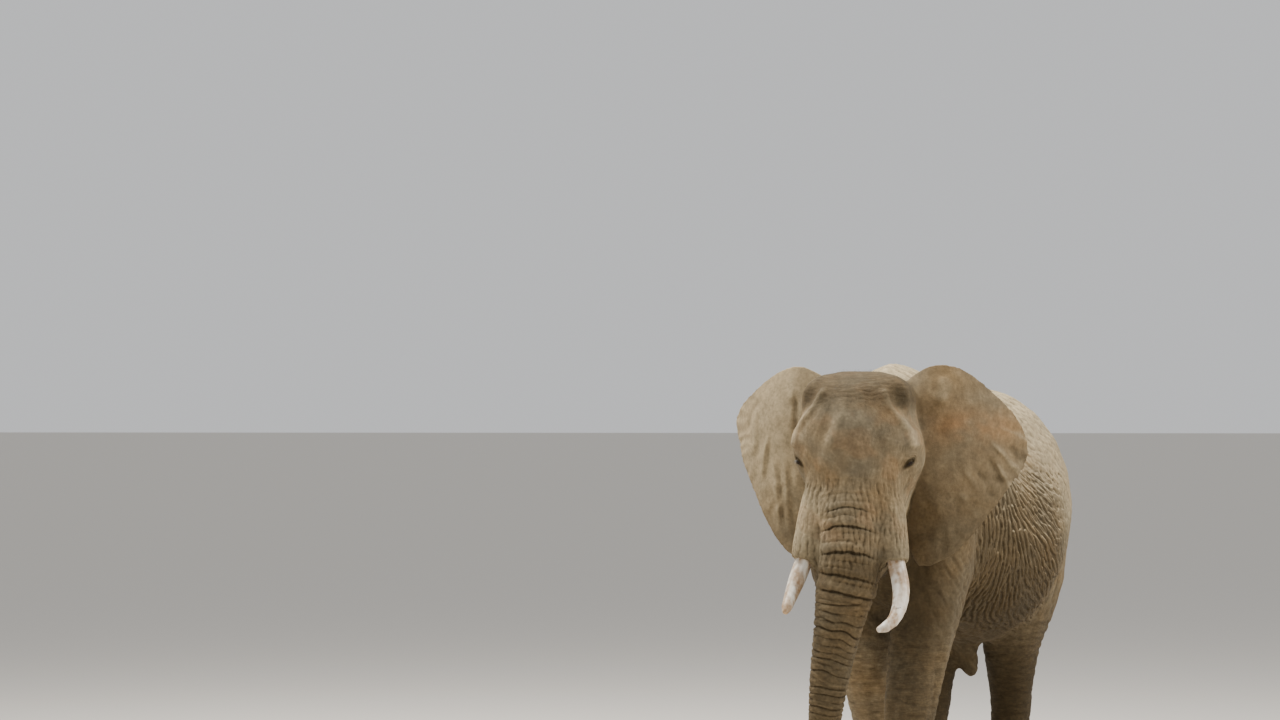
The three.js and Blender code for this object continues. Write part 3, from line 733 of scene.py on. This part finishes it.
def limb_forms():
    """The wrists, hocks and the long tendons of the legs."""
    total = 0
    for name in LEGS:
        side = 1 if name.endswith("left") else -1
        spot = hide.points[(zone[name] > 0.6) & (pz < 0.9)]
        levels = np.linspace(0.1, 0.9, 9)
        middles = np.array([spot[np.abs(spot[:, 2] - level) < 0.06].mean(0) for level in levels])
        middle_x, middle_y = (np.interp(pz, levels, middles[:, k]) for k in (0, 1))
        turn = np.arctan2((px - middle_x) * side, -(py - middle_y))
        if name.startswith("fore"):
            rows = FORE_FORMS
            form = 0.016 * bell(pz, 0.84, 0.13) * smooth(np.cos(turn), 0.1, 0.9)
        else:
            rows = HIND_FORMS
            form = 0.016 * bell(pz, 0.62, 0.12) * smooth(-np.cos(turn), 0.1, 0.9)
            form = form + 0.014 * bell(pz, 1.02, 0.14) * smooth(np.cos(turn), 0.1, 0.9)
        for amount, turned_to, breadth, level, length in rows:
            form = form + amount * bell(turn, turned_to, breadth) * bell(pz, level, length)
        form = form + 0.004 * cloud(hide.points * [1, 1, 0.45], 0.30, 61)
        total = total + form * zone[name]
    return total


def rims():
    """The skin's edge around the tusks and toenails: a soft lip, and a groove beside it."""
    total = 0
    for names, lip, groove in ((["tusk_left", "tusk_right"], 0.008, 0.0), (NAILS, 0.002, 0.006)):
        boxes = np.array([box_corners(name) for name in names])
        box = (boxes[:, 0].min(0), boxes[:, 1].max(0))
        gap = Field(0.010, box, 0.08).fill(*node_surface(names), reach=0.07).at(hide.points)
        near = (hide.points > box[0] - 0.07).all(1) & (hide.points < box[1] + 0.07).all(1)
        shape = lip * bell(gap, 0.022, 0.014) - groove * bell(gap, 0.004, 0.007)
        total = total + np.where(near, shape, 0)
    return total


ear_bend, ear_outline = ear_forms()
ripple = 0.0075 * cloud(head_spot * [1, 0, 1], 0.5, 22) * ear
forms = head_forms() + ear_outline + limb_forms()
hide.points = hide.points + normal * hide.spread(forms, 2)[:, None] - HEAD_Y * (ear_bend + ripple)[:, None]
normal = hide.normals()
drawn = face_folds() + trunk_rings()
hide.points = hide.points + normal * (height + drawn + rims())[:, None]
hide.points[:, 2] = np.maximum(hide.points[:, 2], 0)


# ------------------------ lids
def eye_axes(side):
    """The way an eye looks, the line between its corners towards the trunk, and up across the lids."""
    offset = np.linalg.norm(hide.points - eye_spots[side], axis=1)
    out = unit(normal[(offset < 0.11) & (offset > 0.06)].mean(0) - 0.6 * HEAD_Y)
    up = unit(UP - dot(UP, out) * out)
    ahead = unit(np.cross(up, out))
    ahead = ahead if dot(ahead, -HEAD_Y) > 0 else -ahead
    lean = math.radians(30)
    return out, ahead * math.cos(lean) - up * math.sin(lean), up * math.cos(lean) + ahead * math.sin(lean)


def sculpt_eye(side):
    """Opens the hide over an eyeball between two heavy lids, with folds around them."""
    out, ahead, up = EYE_AXES[side]
    offset = hide.points - eye_spots[side]
    a, b, d = dot(offset, ahead), dot(offset, up), dot(offset, out)
    around = np.hypot(a, b)
    near = (np.linalg.norm(offset, axis=1) < 0.15) & (dot(normal, out) > -0.2)
    lid = np.where(b > -0.04 * a, 0.0268, 0.0255)
    dome = np.sqrt(np.maximum(lid ** 2 - around ** 2, 1e-6))
    brow = 0.0155 + 0.2 * np.maximum(0.03 - around, 0)
    base = np.where(around < 0.032, np.minimum(d, brow), d)
    merge = 0.004
    gap = np.clip(0.5 + 0.5 * (dome - base) / merge, 0, 1)
    target = base + (dome - base) * gap + merge * gap * (1 - gap) * 0.5
    half, top, foot = 0.0215, 0.0105, 0.0085
    bend = 1 - (a / half) ** 2
    inside = np.minimum(top * bend - b, b + foot * bend)
    target = target + 0.0012 * bell(inside, -0.0016, 0.0012) * (np.abs(a) < half + 0.004)
    ball = np.sqrt(np.maximum(EYE_RADIUS ** 2 - around ** 2, 1e-6)) - 0.004
    target = target + (ball - target) * smooth(inside, -0.0005, 0.0007)
    reach = smooth(np.abs(a), half * 0.9, half * 1.05) * smooth(np.abs(a), 0.056, 0.03)
    corner = bell(b, -0.1 * np.abs(a), 0.003) * reach
    target = target - 0.006 * corner
    oval = np.hypot(a / 1.25, b) + 0.0018 * cloud(offset, 0.05, 60)
    strong = 0.2 + 0.8 * smooth(b - 0.5 * a, -0.012, 0.02)
    rings = 0
    for radius, depth, width in ((0.0275, 0.0036, 0.0022), (0.0375, 0.0026, 0.002), (0.049, 0.003, 0.0026),
                                 (0.063, 0.0026, 0.003), (0.079, 0.002, 0.0034)):
        roll = 0.45 * bell(oval, radius + 2.2 * width, 2 * width)
        rings = rings + depth * (roll - bell(oval, radius, width))
    share = smooth(around, 0.045, 0.026)
    move = (target - d) * share + rings * strong * smooth(around, 0.11, 0.06)
    hide.points[near] += out * move[near, None]


EYE_AXES = {side: eye_axes(side) for side in (1, -1)}
for side in (1, -1):
    sculpt_eye(side)
normal = hide.normals()


# ------------------------ colour carried by the hide's points
# how far each point lies below its near and its wider surroundings, in metres
crease_near = hide.spread(height, 6) - hide.spread(height, 1)
crease_wide = dot(hide.spread(hide.points, 10) - hide.points, normal)
cavity = crease_near / 0.0016 + crease_wide / 0.006 * (1 - 0.5 * zone["head"] - 0.4 * ear)
cavity = np.clip(0.6 * cavity, -1, 1)

# LIGHT serves as dust and as painted light, DARK as dark skin and as painted shade
GREY = np.array([0.172, 0.138, 0.086])
LIGHT = np.array([0.40, 0.325, 0.20])
TAN = np.array([0.230, 0.155, 0.075])
RUST = np.array([0.35, 0.165, 0.060])
DARK = np.array([0.046, 0.031, 0.013])


def washed(tone, *washes):
    """The points' tones with colours laid over them one after another, each as strongly as its amount."""
    for colour, amount in washes:
        tone = tone + (np.array(colour) - tone) * np.clip(amount, 0, 1)[:, None]
    return tone


def hide_colours():
    """Grey skin washed with tan patches, rust, dust and soil, and with painted light and shade region by
    region: painted top light, painted shadows on the ears, painted shade under and between the parts and in
    the creases, painted highlights on the ridges.
    """
    torso = zone["torso"] + zone["neck"]
    head, trunk, left_ear, right_ear = (zone[name] for name in ["head", "trunk"] + EARS)
    soft_fore, soft_hind, soft_torso = (hide.spread(part, 60) for part in (foreleg, hind_leg, torso))
    hips = torso * smooth(hide.spacing, CELL * 0.7, CELL * 1.1)
    upward = normal[:, 2]
    blotch = cloud(hide.points, 0.5, 11, 4)
    speck = cloud(hide.points, 0.09, 12, 3)
    # painted light on the tusks' sheaths, stronger on the animal's right side
    sheaths = 0.55 * smooth(-hx, 0.12, 0.28) + 0.25 * smooth(hx, 0.2, 0.32)
    warm = left_ear * bell(hz, 0.24, 0.11) * bell(hx, 0.70, 0.24)
    # painted shade on the chest, behind the trunk and between the forelegs
    chest_shade = smooth(hz, -0.5, -0.75) * smooth(py, -0.65, -0.9) * smooth(px, 0.6, 0.35)
    # the ear folds' hollows, for painted shade
    hollow = smooth(-ear_bend, 0.003, 0.012)
    # painted shade on the flanks where they face sideways or down, before the hips and below the back
    side = smooth(upward, 0.55, 0.0) * smooth(py, 1.3, 0.7) * smooth(pz, 2.5, 2.1)
    # painted shade on the lower left flank
    lower_flank_shade = smooth(pz, 1.95, 1.45) * smooth(px, -0.3, 0.1) * smooth(py, -0.4, -0.1)
    # painted shade under the jaw and on the throat
    throat_shade = smooth(hz, -0.42, -0.55) * smooth(hy, -0.05, 0.1) * smooth(np.abs(hx), 0.45, 0.3)
    # painted shade in the face folds and trunk rings
    drawn_crease_shade = smooth(-drawn, 0.002, 0.009) * head + smooth(-drawn, 0.003, 0.012) * trunk
    # painted shade in the creases
    crease_shade = smooth(cavity, 0.1, 0.8) * (1 - 0.6 * hips - 0.5 * leg - 0.2 * head)
    tone = washed(
        np.tile(GREY, (len(hide.points), 1)),
        (TAN, 0.35 + 0.35 * blotch),
        # dust with painted top light: lighter where the hide faces up, and over the hips and back
        (LIGHT, 0.75 * smooth(upward, 0.0, 0.9) * torso + 0.10 * speck),
        (LIGHT, 0.5 * torso * smooth(py, 0.6, 1.2) * smooth(pz, 1.7, 2.2)),
        # the right ear lighter: dust with painted light
        (LIGHT, 0.62 * right_ear * smooth(hz, -0.7, 0.0)),
        # painted light on the sheaths
        (LIGHT, sheaths * head * smooth(hz, -0.1, -0.3)),
        (RUST, 0.75 * warm * smooth(blotch, -1.2, 0.4)),
        # painted shadow of the head on the left ear's lower part
        (DARK, 0.22 * left_ear * smooth(hz, 0.3, 0.1)),
        (RUST, 0.13 * head * smooth(cloud(hide.points, 0.3, 13), 0.1, 0.9)),
        # painted shade on the chest
        (DARK, 0.65 * (1 - trunk - ear) * chest_shade),
        (TAN, 0.25 * ear),
        # painted shade in the ear folds' hollows, then painted highlight on their ridges
        (DARK, (0.50 * left_ear + 0.20 * right_ear) * hollow),
        (LIGHT, 0.30 * ear * smooth(ear_bend, 0.003, 0.014)),
        # painted shade on the ears' lower parts, with the head's painted shadow on the left ear
        (DARK, (0.45 * left_ear + 0.25 * right_ear) * smooth(hz, 0.05, -0.45)),
        # soil with painted shade: hind legs, trunk and a little of the forelegs darker towards the ground
        (DARK, smooth(pz, 2.0, 0.7) * (0.08 * soft_fore + 0.95 * soft_hind + 0.5 * trunk)),
        # painted shade on the flanks
        (DARK, 0.74 * soft_torso * side),
        (DARK, 0.35 * zone["tail"]),
        # painted shade on the lower left flank
        (DARK, 0.36 * soft_torso * lower_flank_shade),
        # painted shade under the belly
        (DARK, 0.50 * soft_torso * smooth(pz, 1.10, 0.95)),
        # painted shade under the jaw and on the throat
        (DARK, 0.60 * throat_shade * smooth(pz, 1.3, 1.6) * (1 - trunk - ear - leg)),
        # painted shade low on the front of the chest
        (DARK, 0.60 * soft_torso * smooth(pz, 2.0, 1.8) * smooth(py, -0.35, -0.55)),
        # painted shade on the upper forelegs beside the chest, and on the lower trunk
        (DARK, 0.50 * soft_fore * smooth(pz, 1.0, 1.4) + 0.42 * trunk * smooth(hz, -0.5, -0.8)),
        # painted shade in the creases, face folds and trunk rings
        (DARK, 0.85 * crease_shade + 0.8 * drawn_crease_shade))
    # painted highlight: lighter on the rises between the creases
    tone = tone * (1 + 0.25 * smooth(cavity, -0.1, -0.8) * (1 - 0.6 * leg))[:, None]
    # painted highlight on the raised forms of the head, painted shade in its hollows, and the crown darker
    raised = head_forms()
    tone = washed(
        tone, (LIGHT, 0.45 * smooth(raised, 0.004, 0.02) * head),
        (DARK, (0.30 * smooth(-raised, 0.004, 0.03) + 0.70 * smooth(hz, 0.30, 0.44)) * head))
    # dark skin round the eyes, with painted shade under the lids
    for spot, (out, ahead, up) in zip(eye_spots.values(), EYE_AXES.values()):
        offset = hide.points - spot
        a, b, d = dot(offset, ahead), dot(offset, up), dot(offset, out)
        oval = np.sqrt((a / 2) ** 2 + b ** 2 + (d / 2) ** 2)
        tone = washed(tone, (DARK, 0.95 * smooth(oval, 0.042, 0.019)))
    return np.clip(tone * (1 + 0.09 * speck[:, None]), 0, 1)


tones = hide_colours()


def build(name, points, rings, sizes, tones, nodes):
    """A piece from its points, the points of its faces one after another, and its points' colours."""
    mesh = bpy.data.meshes.new(name)
    mesh.vertices.add(len(points))
    mesh.vertices.foreach_set("co", points.astype(np.float32).ravel())
    mesh.loops.add(len(rings))
    mesh.loops.foreach_set("vertex_index", rings.astype(np.int32))
    mesh.polygons.add(len(sizes))
    mesh.polygons.foreach_set("loop_start", np.concatenate([[0], np.cumsum(sizes)[:-1]]).astype(np.int32))
    mesh.polygons.foreach_set("loop_total", sizes.astype(np.int32))
    mesh.polygons.foreach_set("use_smooth", np.ones(len(sizes), bool))
    mesh.update(calc_edges=True)
    mesh.validate()
    colours = np.concatenate([tones, np.ones((len(tones), 1))], axis=1).astype(np.float32)
    mesh.attributes.new("tone", "FLOAT_COLOR", "POINT").data.foreach_set("color", colours.ravel())
    thing = bpy.data.objects.new(name, mesh)
    bpy.context.scene.collection.objects.link(thing)
    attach(thing, "root")
    if nodes:
        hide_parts(*nodes)
    return thing


rings = np.concatenate([hide.quads.ravel()] + [np.array(ring) for ring in hide.others])
sizes = np.array([4] * len(hide.quads) + [len(ring) for ring in hide.others])
skin = build("hide", hide.points, rings, sizes, tones, CORE + EARS)
# how strongly the legs' cracks show, in relief and in painted shade
lines = skin.data.attributes.new("lines", "FLOAT", "POINT")
lines.data.foreach_set("value", (0.20 * leg * smooth(pz, 1.5, 1.1)).astype(np.float32))


# ------------------------ eyes
def quad_piece(name, points, quads, tones, nodes):
    return build(name, points, quads.ravel(), np.full(len(quads), 4), tones, nodes)


def eyeball(side):
    """A ball turned about its line of sight, with a raised cornea; iris and pupil are in its colours."""
    out, ahead, up = EYE_AXES[side]
    out = unit(out + 0.25 * ahead)
    ahead = unit(ahead - dot(ahead, out) * out)
    angles = np.concatenate([np.linspace(0.02, 0.75, 30), np.linspace(0.82, math.pi - 0.05, 20)])
    turns = np.linspace(0, 2 * math.pi, 56, endpoint=False)
    radius = EYE_RADIUS + 0.0011 * smooth(angles, 0.55, 0.2)
    flat = np.cos(turns)[:, None] * ahead + np.sin(turns)[:, None] * up
    points = np.cos(angles)[:, None, None] * out + np.sin(angles)[:, None, None] * flat
    points = eye_spots[side] + (radius[:, None, None] * points).reshape(-1, 3)
    row, turn = np.meshgrid(np.arange(len(angles) - 1), np.arange(len(turns)), indexing="ij")
    after = (turn + 1) % len(turns)
    quads = np.stack([row, row + 1, row + 1, row], axis=-1) * len(turns)
    quads = quads + np.stack([turn, turn, after, after], axis=-1)
    angle = np.repeat(angles, len(turns))[:, None]
    around = np.tile(turns, len(angles))[:, None]
    streak = 0.75 + 0.35 * np.sin(around * 23 + 2 * np.sin(around * 5))
    colour = np.array([0.055, 0.023, 0.008]) * streak * (1 - 0.6 * smooth(angle, 0.46, 0.56))
    colour = colour * smooth(angle, 0.20, 0.23) + 0.002
    white = np.array([0.035, 0.022, 0.015]) * (1 - 0.5 * smooth(angle, 0.95, 0.65))
    colour = colour + (white - colour) * smooth(angle, 0.55, 0.62)
    name = "left" if side > 0 else "right"
    return quad_piece("eyeball_" + name, points, quads.reshape(-1, 4), colour, ["eye_" + name])


eyeballs = [eyeball(side) for side in (1, -1)]


# ------------------------ tusks and toenails
def smooth_copy(name, cell, spread):
    """The surface of one node with its facets smoothed away."""
    field = Field(cell, box_corners(name), 0.04).fill(*node_surface([name]), reach=0.05)
    field.values = softened(field.values, spread / cell) + 0.0005
    points, quads = field.surface()
    return points.astype(np.float64), quads.astype(np.int64)


def tusk(name, side):
    points, quads = smooth_copy(name, 0.005, 0.007)
    low, high = box_corners(name)
    fall = (high[2] - points[:, 2]) / (high[2] - low[2])
    spot = in_head(points)
    speck = cloud(points, 0.035, 81 + side, 4)
    cloudy = cloud(points * [1, 1, 0.35], 0.11, 83 + side, 3)
    inner = smooth(spot[:, 0] * side, 0.42, 0.33) if side > 0 else smooth(-spot[:, 0], 0.50, 0.42)
    stain = smooth(cloudy + (1.5 if side > 0 else 1.1) * inner, 0.2, 1.5) * (0.75 + 0.25 * speck)
    root = smooth(fall, 0.30, 0.05)
    tip = smooth(fall, 0.93, 0.99) if side < 0 else smooth(spot[:, 0], 0.20, 0.12)
    level = fall + 0.03 * cloud(points, 0.08, 85)
    crack = bell(level, 0.72 if side > 0 else 2.0, 0.008) * smooth(speck, -0.4, 0.4)
    tones = washed(np.tile([0.80, 0.755, 0.66], (len(points), 1)),
                   ((0.60, 0.45, 0.29), 0.35 + 0.3 * cloudy), ((0.30, 0.17, 0.075), 0.85 * stain),
                   ((0.33, 0.20, 0.09), 0.6 * root * (0.6 + 0.5 * speck)),
                   ((0.42, 0.25, 0.11), 0.7 * tip), ((0.07, 0.045, 0.025), 0.85 * crack))
    return quad_piece(name.replace("tusk", "ivory"), points, quads, tones, [name])


def toenails(leg_name):
    """The nails of one foot."""
    names = [name for name in NAILS if name.startswith(leg_name)]
    points, quads, start = [], [], 0
    for name in names:
        p, q = smooth_copy(name, 0.004, 0.009)
        points.append(p)
        quads.append(q + start)
        start += len(p)
    points = np.concatenate(points)
    ring = np.sin(points[:, 2] * 420 + 2 * cloud(points, 0.06, 91))
    tones = washed(np.tile([0.20, 0.155, 0.10], (len(points), 1)),
                   ((0.32, 0.26, 0.18), 0.4 + 0.4 * cloud(points, 0.07, 92)),
                   ((0.13, 0.09, 0.05), 0.18 + 0.14 * ring),
                   ((0.10, 0.07, 0.04), smooth(points[:, 2], 0.03, 0.0)))
    return quad_piece("nails_" + leg_name, points, np.concatenate(quads), tones, names)


tusks = [tusk("tusk_left", 1), tusk("tusk_right", -1)]
nails = [toenails(name) for name in LEGS]


# ------------------------ hair
def hairs(name, roots, ways, lengths, width, droop, patches, nodes=(), joints=7):
    """Solid tapering hairs; each takes its colours from a small patch of its own at its root's place."""
    count = len(roots)
    t = np.linspace(0, 1, joints)[None, :, None]
    sway = unit(rng.standard_normal((count, 3)))[:, None]
    line = roots[:, None] + ways[:, None] * t * lengths[:, None, None]
    line = line + (sway * 0.10 - droop * UP) * t ** 2 * lengths[:, None, None]
    run = unit(np.gradient(line, axis=1))
    side = unit(np.cross(run, [0.3, 0.2, 0.93]))
    other = np.cross(run, side)
    turns = np.arange(3) * 2 * math.pi / 3
    girth = (width * (1 - 0.93 * t ** 1.5))[..., None]
    around = np.cos(turns)[:, None] * side[:, :, None] + np.sin(turns)[:, None] * other[:, :, None]
    points = (line[:, :, None] + around * girth).reshape(-1, 3)
    first = np.arange(count)[:, None, None] * joints * 3 + np.arange(joints - 1)[:, None] * 3
    turn = np.arange(3)
    after = (turn + 1) % 3
    ring = [first + turn, first + after, first + 3 + after, first + 3 + turn]
    quads = np.stack(ring, axis=-1).reshape(-1, 4)
    shade = np.repeat(rng.uniform(0.6, 1.5, count), joints * 3)[:, None]
    paler = 1 + 0.8 * np.tile(np.repeat(t[0, :, 0], 3), count)[:, None]
    tones = np.array([0.028, 0.02, 0.014]) * shade * paler
    thing = quad_piece(name, points, quads, tones, nodes)
    corner = quads.ravel()
    patch = patches[corner // (joints * 3)]
    inside = np.stack([(corner % 3) / 3, corner // 3 % joints / (joints - 1)], axis=1)
    layer = thing.data.uv_layers.new(name="OFBake")
    layer.data.foreach_set("uv", (patch + 0.003 * inside).astype(np.float32).ravel())
    return thing


def tail_hairs():
    """The wiry tuft: long hairs all around the end of the tail."""
    low, high = box_corners("tail_tuft")
    skin_points = hide.points[zone["tail"] > 0.5]
    skin_end = skin_points[:, 2].min()
    count = TAIL_HAIRS
    top = max(high[2], skin_end + 0.06)
    height = low[2] + (top - low[2]) * rng.uniform(0.30, 1.0, count) ** 0.7
    core = np.array([skin_points[np.abs(skin_points[:, 2] - max(level, skin_end + 0.02)) < 0.03].mean(0)
                     for level in height])
    turn = rng.uniform(0, 2 * math.pi, count)
    flat = np.stack([np.cos(turn) * 0.014, np.sin(turn) * 0.02, turn * 0], axis=1)
    roots = np.stack([core[:, 0], core[:, 1], height], axis=1) + flat
    ways = unit(flat * rng.uniform(2, 9, count)[:, None] + [0, -0.06, -1.0])
    room = height - low[2]
    lengths = np.minimum(rng.uniform(0.16, 0.34, count), room)
    share = (height - low[2]) / (top - low[2])
    patches = np.stack([0.02 + 0.9 * turn / (2 * math.pi), 0.02 + 0.9 * share], axis=1)
    return hairs("tail_hairs", roots, ways, lengths, 0.0013, 0.12, patches, ["tail_tuft"])


def lashes():
    """Long lashes on the upper lids, and a few on the lower."""
    roots, ways, patches, lengths = [], [], [], []
    for side in (1, -1):
        out, ahead, up = EYE_AXES[side]
        near = np.flatnonzero(np.linalg.norm(hide.points - eye_spots[side], axis=1) < 0.034)
        spot = hide.points[near] - eye_spots[side]
        a, b = dot(spot, ahead), dot(spot, up)
        for upper, number in ((True, 34), (False, 16)):
            for step in np.linspace(-0.9, 0.9, number):
                place = step * 0.019 + rng.uniform(-0.0004, 0.0004)
                edge = 0.0107 * (1 - step ** 2) if upper else -0.0090 * (1 - step ** 2)
                miss = np.hypot(a - place, b - edge)
                root = near[miss.argmin()]
                roots.append(hide.points[root])
                lift = (-0.55 if upper else -0.25) * up
                ways.append(unit(out + lift + ahead * (step * 0.8 - 0.25) + 0.12 * rng.standard_normal(3)))
                lengths.append((0.040 if upper else 0.018) * rng.uniform(0.7, 1.1))
                patches.append((0.5 + side * (0.1 + 0.1 * step), 0.6 if upper else 0.4))
    return hairs("lashes", np.array(roots), np.array(ways), np.array(lengths), 0.00042, 0.25,
                 np.array(patches), joints=6)


def bristles():
    """Sparse stiff hairs on the chin, the trunk, the crown and the back."""
    chance = zone["jaw"] * 0.9 + zone["trunk"] * 0.15 + zone["head"] * (0.25 * smooth(hz, 0.35, 0.5) + 0.02)
    chance = (chance + zone["torso"] * 0.10 * smooth(pz, 2.6, 2.9)) * hide.spacing ** 2
    count = BRISTLES
    picks = rng.choice(len(hide.points), count, replace=False, p=chance / chance.sum())
    roots = hide.points[picks]
    ways = unit(normal[picks] + 0.5 * rng.standard_normal((count, 3)) + [0, 0, -0.4])
    low, high = np.array(cad_box)
    spot = (roots - low) / (high - low)
    around = np.arctan2(roots[:, 0], roots[:, 2] - 1.6) / (2 * math.pi) + 0.5
    patches = np.stack([0.02 + 0.95 * around, 0.02 + 0.95 * spot[:, 1]], axis=1)
    return hairs("bristles", roots - normal[picks] * 0.001, ways, rng.uniform(0.012, 0.035, count),
                 0.0004, 0.1, patches, joints=4)


coat = [tail_hairs(), lashes(), bristles()]


# ------------------------ materials
class Look:
    """A material's nodes, made one after another."""

    def __init__(self, name):
        self.material = bpy.data.materials.new(name)
        self.material.use_nodes = True
        self.tree = self.material.node_tree
        self.shader = self.tree.nodes["Principled BSDF"]

    def node(self, kind, **values):
        made = self.tree.nodes.new(kind)
        for name, value in values.items():
            if hasattr(made, name):
                setattr(made, name, value)
            else:
                self.feed(made.inputs[name.replace("_", " ")], value)
        return made

    def maths(self, kind, operation, *values, **named):
        """What a maths node makes of its inputs, given in order or by name."""
        made = self.node(kind, operation=operation, **named)
        for socket, value in zip(made.inputs, values):
            self.feed(socket, value)
        return made.outputs[0]

    def feed(self, socket, value):
        if isinstance(value, bpy.types.NodeSocket):
            self.tree.links.new(value, socket)
        else:
            socket.default_value = value

    def set(self, **values):
        for name, value in values.items():
            self.feed(self.shader.inputs[name.replace("_", " ")], value)


def toned(look, size, contrast):
    """The points' colour, broken up by fine noise."""
    place = look.node("ShaderNodeTexCoord").outputs["Object"]
    tone = look.node("ShaderNodeAttribute", attribute_name="tone").outputs["Color"]
    noise = look.node("ShaderNodeTexNoise", Vector=place, Scale=size, Detail=5.0, Roughness=0.6)
    shade = look.node("ShaderNodeMapRange", Value=noise.outputs["Fac"], From_Min=0.3, From_Max=0.7,
                      To_Min=1 - contrast, To_Max=1 + contrast).outputs["Result"]
    return place, look.maths("ShaderNodeVectorMath", "SCALE", tone, Scale=shade)


def bumped(look, height, strength, distance, below=None):
    bump = look.node("ShaderNodeBump", Height=height, Strength=strength, Distance=distance)
    if below is not None:
        look.feed(bump.inputs["Normal"], below)
    return bump.outputs["Normal"]


def hide_look():
    """Dry hide: bent lines between crackled cells of two sizes, flat cells on the legs, a fine grain."""
    look = Look("hide")
    place, colour = toned(look, 45.0, 0.20)
    bend = look.node("ShaderNodeTexNoise", Vector=place, Scale=45.0, Detail=3.0).outputs["Color"]
    bent = look.maths("ShaderNodeVectorMath", "MULTIPLY_ADD", bend, (0.022, 0.022, 0.022), place)
    flat = look.node("ShaderNodeMapping", Vector=bent, Scale=(0.35, 0.35, 2.4)).outputs["Vector"]
    surface = None
    legs_only = look.node("ShaderNodeAttribute", attribute_name="lines").outputs["Fac"]
    for source, scale, width, strength, distance in (
            (bent, 62.0, 0.16, 0.30, 0.0022), (bent, 150.0, 0.22, 0.35, 0.0012),
            (flat, 26.0, 0.20, legs_only, 0.0045)):
        cracks = look.node("ShaderNodeTexVoronoi", feature="DISTANCE_TO_EDGE", Vector=source, Scale=scale)
        line = look.node("ShaderNodeMapRange", interpolation_type="SMOOTHSTEP",
                         Value=cracks.outputs["Distance"], From_Min=0.0, From_Max=width).outputs["Result"]
        surface = bumped(look, line, strength, distance, surface)
    grain = look.node("ShaderNodeTexNoise", Vector=place, Scale=320.0, Detail=4.0).outputs["Fac"]
    # painted shade in the cracks on the legs: the colour darkens along the crack lines
    crack_shade = look.maths("ShaderNodeMath", "MULTIPLY_ADD", line, legs_only, 1.0)
    crack_shade = look.maths("ShaderNodeMath", "SUBTRACT", crack_shade, legs_only)
    look.set(Base_Color=look.maths("ShaderNodeVectorMath", "SCALE", colour, Scale=crack_shade),
             Roughness=0.86, Specular_IOR_Level=0.2,
             Normal=bumped(look, grain, 0.4, 0.0010, surface))
    return look.material


def plain_look(name, size, contrast, roughness, shine=0.5, grain=None, stretch=1.0):
    """The points' colour, with a fine grain in relief whose lines may be drawn out upward."""
    look = Look(name)
    place, colour = toned(look, size, contrast)
    look.set(Base_Color=colour, Roughness=roughness, Specular_IOR_Level=shine)
    if grain:
        scale, detail, strength, distance = grain
        drawn = look.node("ShaderNodeMapping", Vector=place, Scale=(1.0, 1.0, 1 / stretch))
        lines = look.node("ShaderNodeTexNoise", Vector=drawn.outputs["Vector"], Scale=scale, Detail=detail)
        look.set(Normal=bumped(look, lines.outputs["Fac"], strength, distance))
    return look.material


for things, look in (
        ([skin], hide_look()),
        (eyeballs, plain_look("eye", 400.0, 0.25, 0.16, shine=0.3)),
        (tusks, plain_look("ivory", 30.0, 0.08, 0.42, grain=(190.0, 4.0, 0.3, 0.0008), stretch=1 / 0.12)),
        (nails, plain_look("toenail", 80.0, 0.15, 0.6, grain=(150.0, 5.0, 0.4, 0.0010))),
        (coat, plain_look("hair", 200.0, 0.2, 0.45))):
    for thing in things:
        thing.data.materials.append(look)


# ------------------------ floor, light, camera
def floor():
    bpy.ops.mesh.primitive_plane_add(size=3000, location=(0, 0, 0))
    plane = bpy.context.object
    plane.name = "floor"
    look = Look("floor")
    look.set(Base_Color=(0.62, 0.585, 0.53, 1), Roughness=0.9)
    plane.data.materials.append(look.material)


floor()
world = bpy.data.worlds.new("world")
bpy.context.scene.world = world
world.use_nodes = True
world.node_tree.nodes["Background"].inputs[0].default_value = (0.97, 0.98, 1.0, 1)
world.node_tree.nodes["Background"].inputs[1].default_value = 0.68


def soft_light(name, place, power, colour):
    """A broad lamp aimed at the middle of the body."""
    data = bpy.data.lights.new(name, "AREA")
    data.size = 5.0
    data.energy = power
    data.color = colour
    lamp = bpy.data.objects.new(name, data)
    lamp.location = place
    lamp.rotation_euler = (Vector((0, 0, 1.6)) - Vector(place)).to_track_quat("-Z", "Y").to_euler()
    bpy.context.scene.collection.objects.link(lamp)


soft_light("key", (-4.9, -1.4, 11.0), 2500, (1.0, 0.97, 0.91))
soft_light("side", (8.0, 1.0, 8.0), 1000, (1.0, 0.97, 0.92))

AHEAD = Vector((-0.402, 0.9156, 0.0)).normalized()
camera = bpy.data.objects.new("camera", bpy.data.cameras.new("camera"))
camera.location = (8.951, -25.369, 2.68)
camera.data.sensor_width = 36
camera.data.lens = 105.5
camera.data.clip_end = 4000
tilt = math.radians(1.02)
aim = AHEAD * math.cos(tilt) + Vector((0, 0, math.sin(tilt)))
camera.rotation_euler = aim.to_track_quat("-Z", "Y").to_euler()
bpy.context.scene.collection.objects.link(camera)
bpy.context.scene.camera = camera
